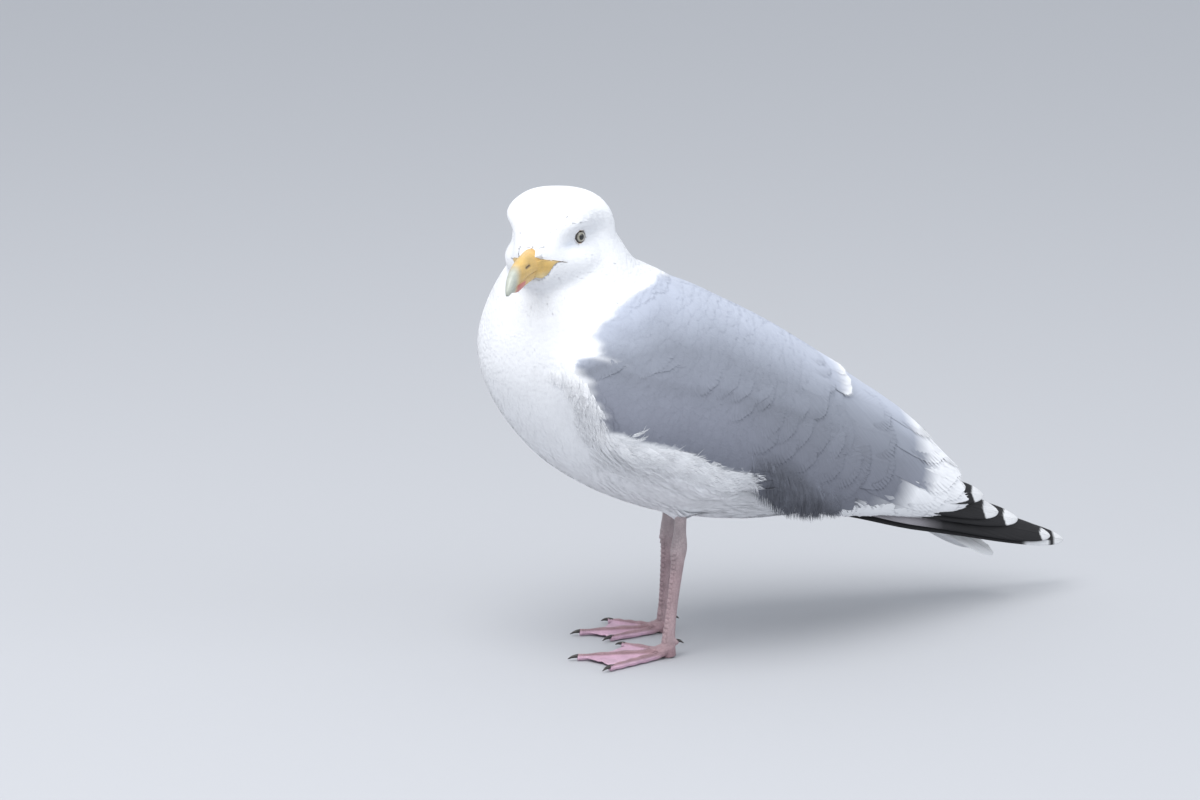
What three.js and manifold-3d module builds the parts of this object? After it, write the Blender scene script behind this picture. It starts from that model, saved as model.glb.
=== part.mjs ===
// A life-size adult herring gull at rest: folded wings, neck drawn in, head turned to its left,
// standing on both webbed feet. Millimetres. +X is forward, +Y the bird's left, +Z up.
// Every piece is lofted from a few named stations, and neighbours are parted by thin cuts.
import * as THREE from "three";
import { mergeVertices } from "three/addons/utils/BufferGeometryUtils.js";
import Module from "manifold-3d";

const wasm = await Module();
wasm.setup();

// ---------------------------------------------------------------- driving dimensions
const GAP = 0.3; // clearance between neighbouring solids

const HEAD = { eyesMid: [97, 19, 288], yaw: 37.5, pitch: -8 }; // degrees, from the body's own heading
const EYE = { radius: 8, apart: 31.4, forward: -3.6, up: 0, hollow: 10 };
const BILL = { base: 26, length: 48 };

const LEG = { hockHeight: 72, ankleHeight: 7, tibiaTop: 98 };
const FEET = {
  left: { heel: [12, 29], hip: [-2, 23], tips: { inner: [27, -13], middle: [74, 4], outer: [71, 43] } },
  right: { heel: [-21.5, -30], hip: [-20, -21], tips: { inner: [29, -26], middle: [38, -53], outer: [1, -74] } },
};
const TOE_RADIUS = { inner: 2.9, middle: 3.1, outer: 2.9 };
const TOE_JOINTS = { inner: 2, middle: 3, outer: 4 };
const CLAW = { length: 8.5, radius: 1.7 };
const WEB = { thickness: 1.1, height: 1.7, notch: 0.78 };
const HIND_TOE = { length: 7, height: 11 };

const PRIMARIES = {
  tips: [[-324, 9, 35], [-310.5, 12.4, 40], [-280, 16, 56], [-261, 19.5, 64], [-246, 22.5, 80], [-232, 24, 91]],
  root: [-118, 26, 86],
  rootStep: [0, 1.3, 4.4],
  width: 20,
  thickness: 1.8,
};
const TAIL = {
  feathers: 12,
  base: [-128, 0, 110],
  tip: [-264, 0, 37],
  spread: 3.3,
  droop: 1.5,
  width: 22,
  thickness: 1.8,
};

const COLOURS = {
  white: { color: 0xf2f2f0, roughness: 0.8 },
  grey: { color: 0x9aa3b2, roughness: 0.75 },
  black: { color: 0x1b1a1c, roughness: 0.6 },
  yellow: { color: 0xdfae45, roughness: 0.4 },
  eye: { color: 0xcfc48a, roughness: 0.1 },
  pink: { color: 0xdba4ac, roughness: 0.55 },
  claw: { color: 0x2c2826, roughness: 0.4 },
};

// ---------------------------------------------------------------- shape helpers
const radians = THREE.MathUtils.degToRad;
const vec = (x, y, z) => new THREE.Vector3(x, y, z);

// Rows of [position, value, value, ...] become a smooth function of position.
function smoothTable(rows) {
  const slope = (column, i) => {
    const a = Math.max(0, i - 1);
    const b = Math.min(rows.length - 1, i + 1);
    return (rows[b][column] - rows[a][column]) / (rows[b][0] - rows[a][0]);
  };
  return (position) => {
    let i = rows.findIndex((row) => row[0] >= position) - 1;
    if (i < -1) i = rows.length - 2;
    i = Math.min(Math.max(i, 0), rows.length - 2);
    const span = rows[i + 1][0] - rows[i][0];
    const t = THREE.MathUtils.clamp((position - rows[i][0]) / span, 0, 1);
    const [t2, t3] = [t * t, t * t * t];
    return rows[i].slice(1).map((value, k) => {
      const column = k + 1;
      return (
        value * (2 * t3 - 3 * t2 + 1) +
        rows[i + 1][column] * (3 * t2 - 2 * t3) +
        slope(column, i) * span * (t3 - 2 * t2 + t) +
        slope(column, i + 1) * span * (t3 - t2)
      );
    });
  };
}

// Closed surface through rings of equally many points, fanned shut at both ends.
function loft(rings) {
  const points = [];
  const faces = [];
  const count = rings[0].length;
  const middle = (ring) => ring.reduce((sum, p) => sum.add(p), vec(0, 0, 0)).divideScalar(count);
  rings.forEach((ring) => points.push(...ring));
  for (let i = 0; i + 1 < rings.length; i++) {
    for (let j = 0; j < count; j++) {
      const [a, b] = [i * count + j, i * count + ((j + 1) % count)];
      faces.push(a, b, b + count, a, b + count, a + count);
    }
  }
  const first = points.push(middle(rings[0])) - 1;
  const last = points.push(middle(rings.at(-1))) - 1;
  const lastRing = (rings.length - 1) * count;
  for (let j = 0; j < count; j++) {
    const next = (j + 1) % count;
    faces.push(first, next, j, last, lastRing + j, lastRing + next);
  }
  const geometry = new THREE.BufferGeometry().setFromPoints(points);
  geometry.setIndex(faces);
  return geometry;
}

// A three.js geometry as a solid, turned outwards if its rings ran the other way.
function solid(geometry) {
  const plain = geometry.clone();
  plain.deleteAttribute("normal");
  plain.deleteAttribute("uv");
  const merged = mergeVertices(plain, 1e-4);
  const make = (triVerts) =>
    new wasm.Manifold(
      new wasm.Mesh({
        numProp: 3,
        vertProperties: new Float32Array(merged.attributes.position.array),
        triVerts,
      }),
    );
  const faces = new Uint32Array(merged.index.array);
  const made = make(faces);
  if (made.volume() > 0) return made;
  for (let i = 0; i < faces.length; i += 3) [faces[i + 1], faces[i + 2]] = [faces[i + 2], faces[i + 1]];
  return make(faces);
}

function geometryOf(manifold) {
  const { numProp, vertProperties, triVerts } = manifold.getMesh();
  const geometry = new THREE.BufferGeometry();
  geometry.setAttribute("position", new THREE.BufferAttribute(new Float32Array(vertProperties), numProp));
  geometry.setIndex(new THREE.BufferAttribute(new Uint32Array(triVerts), 1));
  geometry.computeVertexNormals();
  return geometry;
}

const joined = (solids) => solids.reduce((sum, next) => sum.add(next));
const without = (body, cutters) => cutters.reduce((left, next) => left.subtract(next), body);

// The half of space beyond a plane, as a box large enough for the bird.
function beyond(point, normal, offset = 0) {
  const size = 900;
  const box = new THREE.BoxGeometry(size, size, size);
  const up = vec(...normal).normalize();
  box.translate(0, 0, size / 2 + offset);
  box.applyQuaternion(new THREE.Quaternion().setFromUnitVectors(vec(0, 0, 1), up));
  box.translate(...point);
  return solid(box);
}

// An egg-shaped ring: its upper and lower halves have their own heights, and power squares it off.
function eggRing({ centre, side, up, half, rise, drop, power = 2, count = 32 }) {
  return Array.from({ length: count }, (_, j) => {
    const angle = (2 * Math.PI * j) / count;
    const [c, s] = [Math.cos(angle), Math.sin(angle)];
    const across = half * Math.sign(c) * Math.abs(c) ** (2 / power);
    const along = (s > 0 ? rise : drop) * Math.sign(s) * Math.abs(s) ** (2 / power);
    return centre.clone().addScaledVector(side, across).addScaledVector(up, along);
  });
}

// A round tube through the given points, each [x, y, z, radius], for legs, toes and claws.
function tube(stations, { steps = 12, count = 12, grow = 0, flatten = 1 } = {}) {
  const table = smoothTable(stations.map((row, i) => [i, ...row]));
  const last = stations.length - 1;
  const rings = [];
  for (let i = 0; i <= steps; i++) {
    const t = (last * i) / steps;
    const [x, y, z, radius] = table(t);
    const [ahead, behind] = [table(Math.min(last, t + 0.02)), table(Math.max(0, t - 0.02))];
    const along = vec(...ahead.slice(0, 3)).sub(vec(...behind.slice(0, 3))).normalize();
    const reference = Math.abs(along.z) > 0.8 ? vec(0, 1, 0) : vec(0, 0, 1);
    const side = new THREE.Vector3().crossVectors(reference, along).normalize();
    const up = new THREE.Vector3().crossVectors(along, side);
    const r = Math.max(radius, 0.05) + grow;
    rings.push(eggRing({ centre: vec(x, y, z), side, up, half: r, rise: r * flatten, drop: r * flatten, count }));
  }
  return solid(loft(rings));
}

// One long feather as a thin blade with a rounded tip. facing is the way its flat side looks.
const BLADE_PROFILE = [[0, 0.7], [0.5, 1], [0.86, 0.82], [1, 0.2]]; // share of the length, width

function blade({ root, tip, bow = 0, width, thickness, facing }) {
  const [a, b] = [vec(...root), vec(...tip)];
  const along = b.clone().sub(a).normalize();
  const across = new THREE.Vector3().crossVectors(vec(...facing), along).normalize();
  const normal = new THREE.Vector3().crossVectors(along, across);
  const rings = BLADE_PROFILE.map(([share, wide]) => {
    const [half, edge] = [(width / 2) * wide, thickness / 2];
    const centre = a.clone().lerp(b, share).addScaledVector(normal, bow * Math.sin(Math.PI * share));
    const corner = (x, y) => centre.clone().addScaledVector(across, x).addScaledVector(normal, y);
    return [corner(-half, -edge), corner(half, -edge), corner(half, edge), corner(-half, edge)];
  });
  return solid(loft(rings));
}

// ---------------------------------------------------------------- trunk and neck
// Each station joins a point on the back to one on the underside. They fan round the shoulders, so the
// last ones lie almost flat across the neck: [station, back x, z, underside x, z, middle y, half width].
const BODY_STATIONS = [
  [-1, -194, 78, -190, 67, 0, 9],
  [0, -172, 97, -162, 78, 0, 15],
  [1, -146, 128, -132, 80, 0, 21],
  [2, -110, 167, -92, 79, 0, 37],
  [3, -68, 208, -46, 82, 0, 57],
  [4, -28, 237, 2, 92, 0, 69],
  [5, 0, 253, 44, 108, 0, 71],
  [6, 13, 260, 82, 131, 0, 68],
  [7, 20, 264, 109, 159, 0, 65],
  [8, 24, 264.5, 126, 188, 0, 60],
  [9, 27, 266, 131, 212, 0, 54],
  [10, 32, 271.5, 127, 237, 2, 46],
  [11, 41, 284.5, 120, 256, 5, 36],
  [12, 51, 292, 111, 270, 9, 28],
  [13, 62, 299, 103, 283, 12, 20],
];

function bodySolid() {
  const table = smoothTable(BODY_STATIONS);
  const [first, last] = [BODY_STATIONS[0][0], BODY_STATIONS.at(-1)[0]];
  const steps = 19;
  const rings = Array.from({ length: steps + 1 }, (_, i) => {
    const [backX, backZ, underX, underZ, y, half] = table(first + ((last - first) * i) / steps);
    const [back, under] = [vec(backX, y, backZ), vec(underX, y, underZ)];
    const up = back.clone().sub(under);
    const rise = up.length() / 2;
    const centre = under.clone().lerp(back, 0.5);
    return eggRing({ centre, side: vec(0, 1, 0), up: up.normalize(), half, rise, drop: rise, power: 2.05, count: 22 });
  });
  return solid(loft(rings));
}

// ---------------------------------------------------------------- head
// The head's own frame: x forward from the line between the eyes, y left, z up.
const headFrame = new THREE.Matrix4()
  .makeTranslation(...HEAD.eyesMid)
  .multiply(new THREE.Matrix4().makeRotationZ(radians(HEAD.yaw)))
  .multiply(new THREE.Matrix4().makeRotationY(radians(-HEAD.pitch)));
const inHeadFrame = (geometry) => geometry.applyMatrix4(headFrame);

// [x, top z, bottom z, half width, depth of the eye's hollow], from the nape to the feathers round the bill.
const HEAD_STATIONS = [
  [-52, 3, -8, 6, 0],
  [-48, 12, -20, 18, 0],
  [-40, 20.5, -28, 28, 0],
  [-27, 25.3, -33, 36, 0.02],
  [-13, 28.4, -36, 34.5, 0.27],
  [0, 27.8, -37, 33.5, 0.43],
  [11, 21.2, -35, 27.5, 0.36],
  [20, 13, -30.5, 20, 0.18],
  [27, 4, -26, 13.5, 0],
  [33, -4, -22, 8.5, 0],
];

function headSolid() {
  const table = smoothTable(HEAD_STATIONS);
  const [first, last] = [HEAD_STATIONS[0][0], HEAD_STATIONS.at(-1)[0]];
  const steps = 14;
  const rings = Array.from({ length: steps + 1 }, (_, i) => {
    const x = first + ((last - first) * (1 - Math.cos((Math.PI * i) / steps))) / 2;
    const [top, bottom, half, hollow] = table(x);
    const centre = vec(x, 0, bottom + (top - bottom) * 0.52);
    const ring = eggRing({
      centre, side: vec(0, 1, 0), up: vec(0, 0, 1), half, rise: top - centre.z, drop: centre.z - bottom,
      power: 2.1, count: 22,
    });
    ring.forEach((p) => p.setY(p.y * (1 - hollow * Math.exp(-(((p.z - EYE.up) / EYE.hollow) ** 2)))));
    return ring;
  });
  return solid(inHeadFrame(loft(rings)));
}

function eyeSolid(side, grow = 0) {
  const ball = new THREE.SphereGeometry(EYE.radius + grow, 14, 8);
  ball.translate(EYE.forward, (side * EYE.apart) / 2, EYE.up);
  return solid(inHeadFrame(ball));
}

// ---------------------------------------------------------------- bill
// Shares of the bill's length: [share, culmen z, cutting edge z, half width], measured from the culmen's base.
const UPPER_BILL = [
  [-0.3, 1.0, -11.4, 9.6],
  [0.0, 0.5, -11.6, 8.2],
  [0.25, 0.3, -11.2, 6.6],
  [0.5, -0.6, -11.4, 5.3],
  [0.7, -2.8, -12.2, 4.4],
  [0.85, -6.6, -13.6, 3.3],
  [0.95, -11.2, -16.2, 2.1],
  [1.0, -14.8, -17.6, 0.9],
];
// [share, cutting edge z, underside z, half width].
const LOWER_BILL = [
  [-0.3, -11.8, -18.0, 8.8],
  [0.0, -12.0, -18.3, 7.3],
  [0.25, -11.6, -18.4, 5.8],
  [0.5, -11.8, -18.9, 4.4],
  [0.68, -12.5, -19.6, 3.5],
  [0.8, -13.4, -18.4, 2.6],
  [0.9, -14.9, -17.0, 1.3],
];

// Half outlines of a mandible's section as shares of its half width and height.
const UPPER_SECTION = [[1, 0], [1.02, 0.3], [0.86, 0.66], [0.5, 0.92], [0, 1]];
const LOWER_SECTION = [[0, 0], [0.38, 0.05], [0.72, 0.25], [0.96, 0.6], [1, 1]];

function mandible(rows, section, grow = 0) {
  const table = smoothTable(rows);
  const [first, last] = [rows[0][0], rows.at(-1)[0]];
  const mirrored = [...section].reverse().filter(([across]) => across > 0).map(([across, up]) => [-across, up]);
  const shape = [...section, ...mirrored];
  const steps = 9;
  const rings = Array.from({ length: steps + 1 }, (_, i) => {
    const share = first + ((last - first) * i) / steps;
    const [high, low, half] = table(share);
    const [top, bottom] = [high + grow, low - grow];
    const end = i === 0 ? -grow : i === steps ? grow : 0;
    const x = BILL.base + share * BILL.length + end;
    return shape.map(([across, up]) => vec(x, across * (half + grow), bottom + (top - bottom) * up));
  });
  return solid(inHeadFrame(loft(rings)));
}

// ---------------------------------------------------------------- wings
// [x, top y, top z, bottom y, bottom z, widest y] for the left wing, from its tertials to its bend.
const WING_STATIONS = [
  [-240, 13, 85, 19, 78, 21],
  [-235, 7, 96, 21, 72, 25],
  [-221, 4, 112, 24, 67, 28.5],
  [-195, 2, 138, 28, 68, 34],
  [-160, 2, 163, 34, 75, 42],
  [-120, 4, 189, 43, 81, 54],
  [-80, 8, 213, 53, 91, 64],
  [-45, 13, 231, 63, 106, 71],
  [-5, 20, 249, 70, 128, 75],
  [35, 29, 254, 72, 144, 76],
  [65, 42, 242, 71, 152, 74],
  [86, 52, 233, 68, 168, 70],
  [97, 57, 219, 64, 184, 65],
  [101, 59, 210, 61, 196, 61],
];
const WING = { thickness: 14, edge: 2 }; // its depth in the middle and round its rim
const WING_THINNING = { rear: 150, front: 30 }; // over these lengths it thins towards its ends
const WING_FACETS = { along: 13, down: 6 };

function wingSolid(side, grow = 0) {
  const table = smoothTable(WING_STATIONS);
  const [first, last] = [WING_STATIONS[0][0], WING_STATIONS.at(-1)[0]];
  const steps = WING_FACETS.along;
  const rings = Array.from({ length: steps + 1 }, (_, i) => {
    const x = first + ((last - first) * (1 - Math.cos((Math.PI * i) / steps))) / 2;
    const thinning = Math.min(1, (x - first) / WING_THINNING.rear + 0.08, (last - x) / WING_THINNING.front + 0.2);
    const outward = i === 0 ? -grow : i === steps ? grow : 0;
    return swollen(wingRing(x, table(x), thinning), grow).map((p) =>
      vec(p.x + outward, side * Math.max(p.y, 2 * GAP - grow), p.z),
    );
  });
  return solid(loft(rings));
}

// Down the wing's outer face, which bulges to its widest y, then back up its inner face.
function wingRing(x, [topY, topZ, bottomY, bottomZ, widest], thinning) {
  const down = WING_FACETS.down;
  const outer = Array.from({ length: down + 1 }, (_, j) => {
    const t = j / down;
    const bulge = 4 * (widest - (topY + bottomY) / 2) * t * (1 - t) * (0.95 + 0.1 * t);
    const z = topZ + (bottomZ - topZ) * (t - 0.05 * Math.sin(2 * Math.PI * t));
    return vec(x, topY + (bottomY - topY) * t + bulge, z);
  });
  const inner = outer.map((p, j) => {
    const [before, after] = [outer[Math.max(0, j - 1)], outer[Math.min(down, j + 1)]];
    const inward = vec(0, after.z - before.z, before.y - after.y).normalize();
    const depth = (WING.thickness - WING.edge) * thinning * Math.sin((Math.PI * j) / down) ** 0.6;
    return p.clone().addScaledVector(inward, WING.edge + depth);
  });
  return [...outer, ...inner.reverse()];
}

// The ring moved outwards in its own upright plane, a little more than asked so its corners clear too.
const CORNER_GROWTH = 1.3;
function swollen(ring, grow) {
  return ring.map((p, j) => {
    const [before, after] = [ring.at(j - 1), ring[(j + 1) % ring.length]];
    const normal = vec(0, before.z - after.z, after.y - before.y).normalize();
    return p.clone().addScaledVector(normal, grow * CORNER_GROWTH);
  });
}

function primariesSolid(side, grow = 0) {
  const { tips, root, rootStep, width, thickness } = PRIMARIES;
  return joined(tips.map(([x, y, z], i) => blade({
    root: [root[0], side * (root[1] + rootStep[1] * i), root[2] + rootStep[2] * i], tip: [x, side * y, z], bow: 5,
    width: width + 2 * grow, thickness: thickness + 2 * grow, facing: [0.05, side * 0.86, 0.5],
  })));
}

// ---------------------------------------------------------------- tail
function tailSolid(grow = 0) {
  const { feathers, base, tip, spread, droop, width, thickness } = TAIL;
  const blades = [];
  for (let i = 0; i < feathers; i++) {
    const place = i - (feathers - 1) / 2; // the middle pair lies on top
    const layer = Math.abs(place);
    blades.push(blade({
      root: [base[0], place * 1.6, base[2] - layer * 0.5],
      tip: [tip[0] + layer * 0.6, place * spread, tip[2] - layer * droop],
      bow: 2.5, width: width + 2 * grow, thickness: thickness + 2 * grow, facing: [0.45, 0, 0.89],
    }));
  }
  return joined(blades);
}

// ---------------------------------------------------------------- legs and feet
function thighSolid({ hip }, grow = 0) {
  const [x, y] = hip;
  return tube(
    [[x - 8, y, 118, 15], [x - 4, y, 103, 12.5], [x, y, 93, 8.5], [x + 1, y, 88 - grow, 5.6]],
    { steps: 4, count: 11, grow },
  );
}

function shankSolid({ hip, heel }, grow = 0) {
  const mix = (t) => [hip[0] + (heel[0] - hip[0]) * t, hip[1] + (heel[1] - hip[1]) * t];
  return tube(
    [
      [...mix(0.02), LEG.tibiaTop, 3.8],
      [...mix(0.1), LEG.hockHeight + 11, 4.1],
      [...mix(0.16), LEG.hockHeight, 5.4],
      [...mix(0.25), LEG.hockHeight - 10, 4.3],
      [...mix(0.6), 38, 3.5],
      [...mix(0.9), 15, 3.9],
      [...mix(1.0), LEG.ankleHeight, 4.6],
    ],
    { steps: 9, count: 8, grow },
  );
}

// Along a toe on the ground: the point at a distance from the heel towards the claw's tip.
function onToe({ heel, tips }, toe, distance) {
  const [from, to] = [vec(...heel, 0), vec(...tips[toe], 0)];
  return from.addScaledVector(to.clone().sub(from).normalize(), distance);
}

function toeLength({ heel, tips }, toe) {
  return Math.hypot(tips[toe][0] - heel[0], tips[toe][1] - heel[1]) - CLAW.length;
}

function toeSolid(foot, toe) {
  const [length, joints, thick] = [toeLength(foot, toe), TOE_JOINTS[toe], TOE_RADIUS[toe]];
  const root = onToe(foot, toe, 0);
  const rows = [[root.x, root.y, 6.4, 4.4]];
  for (let j = 0; j <= joints; j++) {
    const share = 0.2 + (0.8 * j) / joints;
    const p = onToe(foot, toe, length * share);
    const radius = thick * (1 - 0.3 * share);
    rows.push([p.x, p.y, radius * 0.86 + 3 * Math.max(0, 0.3 - share), radius]); // the sole is a small flat
  }
  return tube(rows, { steps: joints + 3, count: 6 });
}

function clawSolid(foot, toe, grow = 0) {
  const at = (share, z, r) => {
    const p = onToe(foot, toe, toeLength(foot, toe) + CLAW.length * share);
    return [p.x, p.y, z, r];
  };
  return tube([at(-0.45, 2.3, CLAW.radius * 0.9), at(0.1, 3.0, CLAW.radius), at(0.6, 2.5, 1.1), at(1, 1.2, 0.3)], {
    steps: 4, count: 5, grow,
  });
}

// The web between two neighbouring toes: a thin sheet whose front edge curves in.
function webSolid(foot, toeA, toeB) {
  const reach = (toe) => toeLength(foot, toe) * 0.97;
  const [a, b] = [toeA, toeB].map((toe) => onToe(foot, toe, reach(toe)));
  const middle = a.clone().add(b).multiplyScalar(0.5);
  const heel = vec(...foot.heel, 0);
  const notch = heel.clone().lerp(middle, WEB.notch);
  const edge = new THREE.QuadraticBezierCurve3(a, notch, b).getPoints(5);
  const shape = new THREE.Shape([heel, ...edge].map((p) => new THREE.Vector2(p.x, p.y)));
  const sheet = new THREE.ExtrudeGeometry(shape, { depth: WEB.thickness, bevelEnabled: false });
  sheet.translate(0, 0, WEB.height - WEB.thickness / 2);
  return solid(sheet);
}

// The small hind toe, raised behind the ankle, from one distance behind the heel to another.
function hindToeSolid({ heel, tips }, from, to, radii, grow = 0) {
  const back = vec(heel[0] - tips.middle[0], heel[1] - tips.middle[1], 0).normalize();
  const at = (distance, z, r) => [heel[0] + back.x * distance, heel[1] + back.y * distance, z, r];
  return tube([
    at(from, HIND_TOE.height, radii[0]),
    at((from + to) / 2, HIND_TOE.height - 0.6, radii[1]),
    at(to, HIND_TOE.height - 2.2, radii[2]),
  ], { steps: 2, count: 5, grow });
}
const hindClawSolid = (foot, grow = 0) =>
  hindToeSolid(foot, HIND_TOE.length - 1.5, HIND_TOE.length + 3.6, [1.0, 0.9, 0.3], grow);

function footSolids(foot) {
  const toes = Object.keys(foot.tips);
  const webs = [webSolid(foot, "inner", "middle"), webSolid(foot, "middle", "outer")];
  const hind = hindToeSolid(foot, 1, HIND_TOE.length, [2.6, 2.3, 1.5]);
  const [x, y] = foot.heel;
  const pad = tube([[x - 1, y, -1, 5.2], [x, y, 7, 5.2]], { steps: 1, count: 10 });
  const claws = Object.fromEntries(toes.map((toe) => [toe, clawSolid(foot, toe)]));
  claws.hind = hindClawSolid(foot);
  const sockets = [...toes.map((toe) => clawSolid(foot, toe, GAP)), hindClawSolid(foot, GAP)];
  const floor = beyond([0, 0, 0], [0, 0, -1]);
  const whole = joined([...toes.map((toe) => toeSolid(foot, toe)), ...webs, hind, pad]);
  return { body: without(whole, [floor, ...sockets, shankSolid(foot, GAP)]), claws };
}

// The largest connected piece, for where a cut leaves loose crumbs.
function largest(manifold) {
  return manifold.decompose().reduce((best, next) => (next.volume() > best.volume() ? next : best));
}

// ---------------------------------------------------------------- the bird, cut into its parts
const bird = new THREE.Group();

function place(name, manifold, look) {
  const mesh = new THREE.Mesh(geometryOf(largest(manifold)), new THREE.MeshStandardMaterial({ ...look, metalness: 0 }));
  mesh.name = name;
  bird.add(mesh);
}

const SIDES = [["left", 1], ["right", -1]];
const HEAD_CUT = { point: [78, 10, 262], normal: [0.25, 0.1, 0.96] };
const NECK_CUT = { point: [62, 0, 226], normal: [0.5, 0, 0.87] };

const whole = joined([bodySolid(), headSolid()]);
const cutters = [
  ...SIDES.flatMap(([, s]) => [wingSolid(s, GAP), primariesSolid(s, GAP), eyeSolid(s, GAP)]),
  ...Object.values(FEET).map((foot) => thighSolid(foot, GAP)),
  tailSolid(GAP),
  mandible(UPPER_BILL, UPPER_SECTION, GAP),
  mandible(LOWER_BILL, LOWER_SECTION, GAP),
];
const flesh = without(whole, cutters);

place("head", flesh.intersect(beyond(HEAD_CUT.point, HEAD_CUT.normal, GAP / 2)), COLOURS.white);
place("neck", without(
  flesh.intersect(beyond(NECK_CUT.point, NECK_CUT.normal, GAP / 2)),
  [beyond(HEAD_CUT.point, HEAD_CUT.normal, -GAP / 2)],
), COLOURS.white);
place("trunk", without(flesh, [
  beyond(NECK_CUT.point, NECK_CUT.normal, -GAP / 2),
]), COLOURS.white);

place("bill_upper", mandible(UPPER_BILL, UPPER_SECTION), COLOURS.yellow);
place("bill_lower", mandible(LOWER_BILL, LOWER_SECTION), COLOURS.yellow);
place("tail", without(tailSolid(), SIDES.map(([, s]) => wingSolid(s, GAP))), COLOURS.white);

for (const [name, s] of SIDES) {
  const foot = FEET[name];
  const { body, claws } = footSolids(foot);
  place("eye_" + name, eyeSolid(s), COLOURS.eye);
  place("wing_" + name, without(wingSolid(s), [primariesSolid(s, GAP)]), COLOURS.grey);
  place("primaries_" + name, without(primariesSolid(s), [tailSolid(GAP)]), COLOURS.black);
  place("thigh_" + name, without(thighSolid(foot), [shankSolid(foot, GAP)]), COLOURS.white);
  place("shank_" + name, shankSolid(foot), COLOURS.pink);
  place("foot_" + name, body, COLOURS.pink);
  for (const [toe, claw] of Object.entries(claws)) place("claw_" + name + "_" + toe, claw, COLOURS.claw);
}

// All sizes above are measured from the ground between the feet. The part's own origin is under its middle.
const outline = new THREE.Box3().setFromObject(bird);
const middle = outline.getCenter(vec(0, 0, 0));
bird.children.forEach((mesh) => mesh.position.set(-middle.x, -middle.y, -outline.min.z));

export default bird;
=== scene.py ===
"""An adult gull at rest, life size: one skin, a coat of vanes laid over it, quills, bill, eyes, legs and feet.
Sizes are in millimetres in the bird's own frame: +X forward, +Y its left, +Z up, with the origin on the ground
between the feet."""

import math
from itertools import product

import bmesh
import bpy
import numpy as np
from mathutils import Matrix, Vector
from mathutils.bvhtree import BVHTree


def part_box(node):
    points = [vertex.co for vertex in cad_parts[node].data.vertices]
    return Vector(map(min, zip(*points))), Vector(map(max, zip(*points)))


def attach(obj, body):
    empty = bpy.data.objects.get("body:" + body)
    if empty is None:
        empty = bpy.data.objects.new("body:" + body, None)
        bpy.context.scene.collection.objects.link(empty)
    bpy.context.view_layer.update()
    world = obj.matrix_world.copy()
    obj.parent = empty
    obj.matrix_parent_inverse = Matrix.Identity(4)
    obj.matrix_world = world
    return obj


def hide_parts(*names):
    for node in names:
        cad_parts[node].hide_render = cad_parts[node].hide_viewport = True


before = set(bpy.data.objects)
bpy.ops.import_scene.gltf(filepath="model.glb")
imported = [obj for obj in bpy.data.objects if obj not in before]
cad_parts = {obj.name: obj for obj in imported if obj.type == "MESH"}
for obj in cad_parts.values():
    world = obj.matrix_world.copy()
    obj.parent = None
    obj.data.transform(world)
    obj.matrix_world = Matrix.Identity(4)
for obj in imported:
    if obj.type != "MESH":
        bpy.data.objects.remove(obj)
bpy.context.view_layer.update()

MM = 0.001
LEFT, RIGHT = 1, -1
SIDES = {"left": LEFT, "right": RIGHT}
rng = np.random.default_rng(41)

# ------------------------------------------------------------------ sizes shared with the solids
HEAD_ORIGIN = np.array([97.0, 19.0, 288.0])  # midway between the eyes
HEAD_YAW, NOSE_DOWN = math.radians(37.5), math.radians(8)
EYE_CENTRE = np.array([-3.6, 15.7, 0.0])  # in the head's frame, left eye
EYE_RADIUS = 8.0
BILL_BASE, BILL_LENGTH = 26.0, 48.0
# [x, y] of each heel, of the leg's upper end and of the toes' tips
FEET = {
    "left": {"heel": (12, 29), "hip": (-2, 23), "inner": (27, -13), "middle": (74, 4), "outer": (71, 43)},
    "right": {"heel": (-21.5, -30), "hip": (-20, -21), "inner": (29, -26), "middle": (38, -53), "outer": (1, -74)},
}
FEET = {name: {spot: np.array(at, float) for spot, at in foot.items()} for name, foot in FEET.items()}

# [station, back x, back z, underside x, underside z, middle y, half width]
BODY_STATIONS = np.array([
    [-1, -194, 78, -190, 67, 0, 9], [0, -172, 97, -162, 78, 0, 15], [1, -146, 128, -132, 80, 0, 21],
    [2, -110, 167, -92, 79, 0, 37], [3, -68, 208, -46, 82, 0, 57], [4, -28, 237, 2, 92, 0, 69],
    [5, 0, 253, 44, 108, 0, 71], [6, 13, 260, 82, 131, 0, 68], [7, 20, 264, 109, 159, 0, 65],
    [8, 24, 264.5, 126, 188, 0, 60], [9, 27, 266, 131, 212, 0, 54], [10, 32, 271.5, 127, 237, 2, 46],
    [11, 41, 284.5, 120, 256, 5, 36], [12, 51, 292, 111, 270, 9, 28], [13, 62, 299, 103, 283, 12, 20],
], float)
# [x, top z, bottom z, half width, depth of the eye's hollow], head frame
HEAD_STATIONS = np.array([
    [-52, 3, -8, 6, 0], [-48, 12, -20, 18, 0], [-40, 20.5, -28, 28, 0], [-27, 25.3, -33, 36, 0.02],
    [-13, 28.4, -36, 34.5, 0.22], [0, 27.8, -37, 33.5, 0.42], [11, 21.2, -35, 27.5, 0.36], [20, 13, -30.5, 20, 0.18],
    [27, 4, -26, 13.5, 0], [33, -4, -22, 8.5, 0],
], float)
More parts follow.
